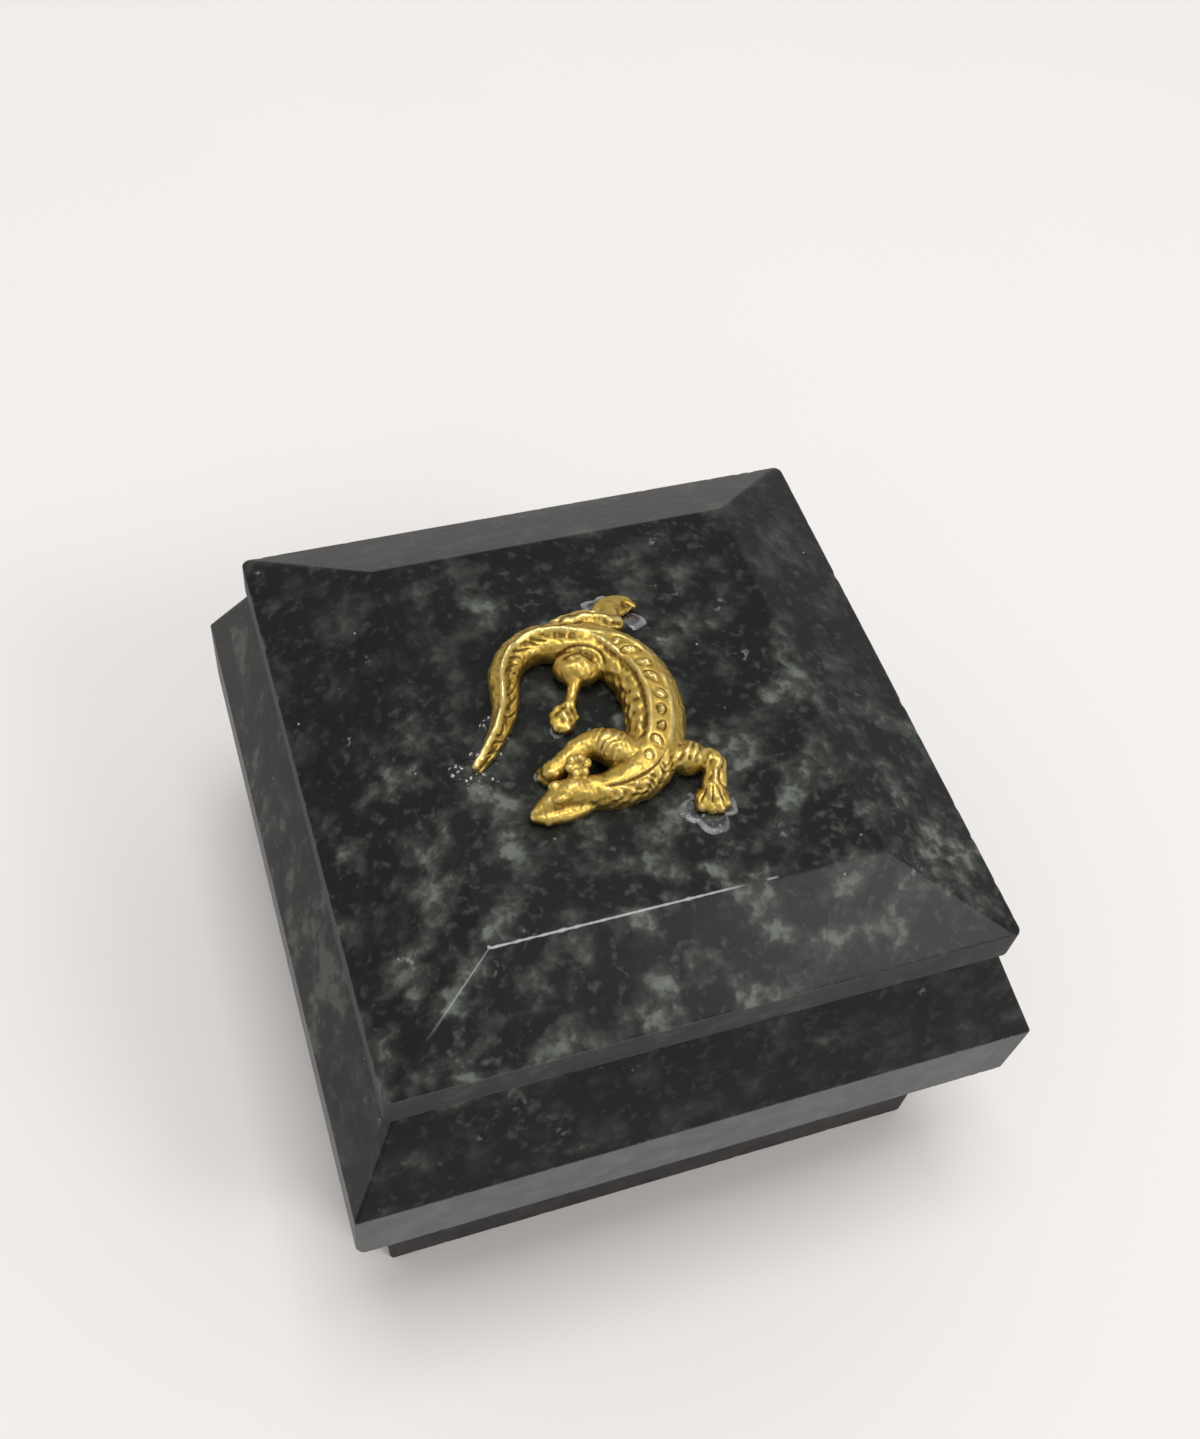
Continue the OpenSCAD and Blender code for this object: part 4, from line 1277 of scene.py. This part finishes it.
print("Casting from and to, mm:", [round(float(z), 2) for z in chase(lizard_mesh, casting_seat)])

# %% [markdown]
# ## Gilding
# The gilt is a satin metal: deeper and browner in the hollows where the patina stayed, and paler on the
# ridges, where the colour holds rubbed gilt together with a painted highlight. The mesh knows its hollows,
# so the material blends three golds by that number and adds a little unevenness.

# %% Gilt material
GOLD_DEEPER = (0.50, 0.330, 0.068, 1)
GOLD_LIGHTER = (0.63, 0.445, 0.112, 1)
PATINA = (0.15, 0.088, 0.020, 1)
# Pale gold on the ridges: rubbed gilt, and also a painted highlight
RUBBED_AND_HIGHLIGHT_GOLD = (0.78, 0.60, 0.23, 1)
GILT_BUMP = 0.25
GILT_BUMP_H = 0.05 * MM


def gilt_material():
    """Metal whose colour and roughness follow the hollows of the casting."""
    material, tree, shader, place = new_material("satin_gilt")
    hollow = surface_value(tree, "hollow")
    uneven = noise(tree, place, 0.9, 4)
    deep = soft_step(tree, arithmetic(tree, "ADD", hollow, span(tree, uneven, -0.25, 0.25)), 0.0, 0.9)
    # Ridges turn to pale gold, which is rubbed gilt and also a painted highlight; they are a little smoother
    # too
    high = soft_step(tree, hollow, -0.15, -0.75)
    gold = blend(tree, uneven, GOLD_DEEPER, GOLD_LIGHTER)
    gilt_with_highlight = blend(tree, high, blend(tree, deep, gold, PATINA), RUBBED_AND_HIGHLIGHT_GOLD)
    rough = arithmetic(tree, "ADD", span(tree, deep, 0.42, 0.55), product(tree, high, -0.08))
    bump = add_node(tree, "ShaderNodeBump", {"Height": noise(tree, place, 3.0, 4), "Strength": GILT_BUMP,
                                             "Distance": GILT_BUMP_H})
    join(tree, [(gilt_with_highlight, shader.inputs["Base Color"]), (rough, shader.inputs["Roughness"]),
                (bump.outputs["Normal"], shader.inputs["Normal"])])
    shader.inputs["Metallic"].default_value = 1.0
    return material


lizard_mesh.materials.clear()
lizard_mesh.materials.append(gilt_material())
lizard_mesh.name = "lizard_dressed"
lizard = bpy.data.objects.new("lizard_dressed", lizard_mesh)
bpy.context.scene.collection.objects.link(lizard)
fit_piece(lizard, "lizard", "lid")

# %% [markdown]
# ## Adhesive
# Clear adhesive was pressed out round the feet and dried, in some places as a smooth film with a milky
# rim, in others as white crumbs, whose white dots are also painted glints. Glass is the usual choice for
# what is clear, but so thin a film bends no light. This material mixes three shaders: one that lets the stone
# show, one for what is milky, and gloss by Fresnel. The mesh says how near the rim a point is, and how crusty
# the film is.

# %% Adhesive material
FILM_IOR = 1.47
FILM_GREY = (0.44, 0.455, 0.46, 1)
# White of the crumbs, whose dots also serve as painted glints
CRUMB_AND_GLINT_WHITE = (0.62, 0.63, 0.63, 1)
CRUMB_AND_GLINT_VEIL = 0.8
CLOUDY_VEIL = 0.14
MILKY_ROUGHNESS = 0.4
GLOSS_ROUGHNESS = 0.10
FILM_BUMP = 0.40
FILM_BUMP_H = 0.4 * MM


def crumb_and_glint_mask(tree, place):
    """Middles of about half of the cells of a bent Voronoi pattern: white crumbs, and also painted glints."""
    spot = bent_place(tree, place, 1.2, 1.1)
    cells = add_node(tree, "ShaderNodeTexVoronoi", {"Vector": spot, "Scale": 1.1})
    drawn = add_node(tree, "ShaderNodeSeparateColor", {0: cells.outputs["Color"]}).outputs[0]
    middle = soft_step(tree, cells.outputs["Distance"], 0.36, 0.16)
    return product(tree, middle, soft_step(tree, drawn, 0.42, 0.62))


def adhesive_material():
    """Veil: milky at the rim and in faint clouds where the mesh has no crust, white crumbs where it has; the
    crumbs' white dots are painted glints as well. The veil mixes the milky shader over a transparent one, and
    Fresnel mixes gloss over both."""
    material, tree, shader, place = new_material("dried_clear_adhesive")
    crust = surface_value(tree, "crust")
    rim = surface_value(tree, "rim")
    # White dots where the film is crusty: crumbs, and also painted glints
    crumbs_and_glints = product(tree, crumb_and_glint_mask(tree, place), crust)
    bead = product(tree, soft_step(tree, rim, 0.74, 0.86), soft_step(tree, rim, 1.0, 0.93))
    cloudy = soft_step(tree, noise(tree, place, 0.45, 3, 0.5), 0.40, 0.68)
    milky = arithmetic(tree, "MAXIMUM", product(tree, cloudy, CLOUDY_VEIL),
                       product(tree, bead, span(tree, cloudy, 0.32, 0.70)))
    haze = product(tree, milky, span(tree, crust, 1.0, 0.0))
    veil = arithmetic(tree, "MAXIMUM", haze, product(tree, crumbs_and_glints, CRUMB_AND_GLINT_VEIL))
    colour = blend(tree, crumbs_and_glints, FILM_GREY, CRUMB_AND_GLINT_WHITE)
    ripple = product(tree, noise(tree, place, 0.8, 2), crust)
    height = arithmetic(tree, "ADD", ripple, crumbs_and_glints)
    bump = add_node(tree, "ShaderNodeBump",
                    {"Height": height, "Strength": FILM_BUMP, "Distance": FILM_BUMP_H}).outputs["Normal"]
    join(tree, [(colour, shader.inputs["Base Color"]), (bump, shader.inputs["Normal"])])
    shader.inputs["Roughness"].default_value = MILKY_ROUGHNESS
    clear = add_node(tree, "ShaderNodeBsdfTransparent").outputs[0]
    body = add_node(tree, "ShaderNodeMixShader", {0: veil, 1: clear, 2: shader.outputs[0]}).outputs[0]
    gloss = add_node(tree, "ShaderNodeBsdfGlossy", {"Roughness": GLOSS_ROUGHNESS, "Normal": bump}).outputs[0]
    mirror = add_node(tree, "ShaderNodeFresnel", {"IOR": FILM_IOR, "Normal": bump}).outputs[0]
    share = product(tree, mirror, span(tree, crust, 1.0, 0.2))
    whole = add_node(tree, "ShaderNodeMixShader", {0: share, 1: body, 2: gloss}).outputs[0]
    join(tree, [(whole, tree.nodes["Material Output"].inputs["Surface"])])
    return material


CLEAR_ADHESIVE = adhesive_material()
print("Adhesive material:", CLEAR_ADHESIVE.name)

# %% [markdown]
# ### Films at the feet
# What was pressed out are a few drops that ran together, with a thicker bead at the rim, where they dried
# first. Metaballs run together as drops do, but it takes many small faces to make them this thin. Here the
# outline is the outer edge of overlapping discs, and the film is a function of an angle and of the share
# of the way out to that edge.

# %% Films at the feet
FILM_RINGS = 26
FILM_POINTS = 128
FILM_RIM_T = 0.02 * MM
FILM_UNDER = 0.005 * MM
FILM_SWAY = 0.16
FILM_LUMPS = 0.35
FILM_FLAT = 0.45
RIM_BEAD_AT = 0.84
RIM_BEAD_W = 0.10
# Node, radius of the middle disc, lobes as degrees, distance and radius in millimetres, crust, seed
FILMS = [("adhesive_outer_front_foot", 3.0, [(190, 3.2, 2.2), (255, 3.4, 2.4), (330, 2.4, 1.8)], 0.45, 71),
         ("adhesive_inner_front_foot", 1.8, [(150, 1.4, 1.2)], 0.3, 72),
         ("adhesive_outer_hind_foot", 2.6, [(-45, 4.6, 1.6), (150, 3.0, 1.7), (120, 2.4, 1.6)], 0.0, 73),
         ("adhesive_inner_hind_foot", 2.2, [(230, 1.6, 1.5)], 0.4, 74),
         ("adhesive_tail_tip", 2.4, [(46, 3.0, 2.8), (50, 6.0, 3.0), (54, 8.6, 2.6), (0, 3.2, 2.2),
                                     (160, 2.6, 1.6), (270, 2.2, 1.6)], 1.0, 75)]


def film_reach(angle, base, lobes, seed):
    """Distance to the film's edge at each angle: the outer edge of the base disc and of the lobes, and
    random cosine waves that sway it. Seen at the angle a from a lobe of radius r at the distance d, its
    edge lies at d cos(a) + sqrt(r^2 - d^2 sin^2(a))."""
    draw = np.random.default_rng(seed)
    waves = np.arange(3, 12)[:, None]
    size = draw.normal(size=waves.shape) / waves
    sway = (size * np.cos(waves * angle + draw.uniform(0, 6.3, waves.shape))).sum(0)
    reach = np.full(angle.shape, base)
    for degrees, distance, radius in lobes:
        turned = angle - math.radians(degrees)
        inside = radius ** 2 - (distance * np.sin(turned)) ** 2
        edge = distance * np.cos(turned) + np.sqrt(np.maximum(inside, 0))
        reach = np.where(inside > 0, np.maximum(reach, edge), reach)
    return reach * (1 + FILM_SWAY * np.clip(sway, -1, 1)) * MM


def film(node, base, lobes, crust, seed):
    """Film over the box of its node, of thickness t. Its height is t * (0.45 + 0.55 * bead) * (1 - share^8),
    with a bell curve near the rim as the bead, times random lumps where it is crusty."""
    low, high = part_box(node)
    middle = (low + high) / 2
    thick = high.z - low.z
    angle = np.linspace(0, 2 * np.pi, FILM_POINTS, endpoint=False)
    share = np.linspace(0.02, 1, FILM_RINGS)[:, None]
    out = share * film_reach(angle, base, lobes, seed)
    plan = np.stack([middle.x + out * np.cos(angle), middle.y + out * np.sin(angle)], -1)
    places = np.concatenate([plan / MM, 0 * plan[..., :1]], -1).reshape(-1, 3)
    lumps = 1 + FILM_LUMPS * crust * hammered(places, 2.0, 32, seed).reshape(out.shape)
    bead = bump_line(share - RIM_BEAD_AT, RIM_BEAD_W)
    top = thick * (FILM_FLAT + (1 - FILM_FLAT) * bead) * lumps * (1 - share ** 8)
    upper = np.concatenate([plan, low.z + np.clip(top, FILM_RIM_T, thick)[..., None]], -1)
    under = upper[-1:].copy()
    under[..., 2] = low.z + FILM_UNDER
    rim = np.concatenate([share, [[1.0]]]) + 0 * angle
    piece = new_piece(node + "_dressed", *closed_grid(np.concatenate([upper, under]), False), CLEAR_ADHESIVE,
                      {"rim": rim, "crust": np.full(rim.shape, crust)})
    fit_piece(piece, node, "lid")


for film_sizes in FILMS:
    film(*film_sizes)

# %% [markdown]
# ### Adhesive under the trunk
# The two discs of adhesive under the trunk never show. Their solids are right as they are, so they
# stay and only take the same material.

# %% Adhesive under the trunk
hidden_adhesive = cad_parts["adhesive_body"]
hidden_adhesive.data.materials.clear()
hidden_adhesive.data.materials.append(CLEAR_ADHESIVE)
print("Carried over:", hidden_adhesive.name)
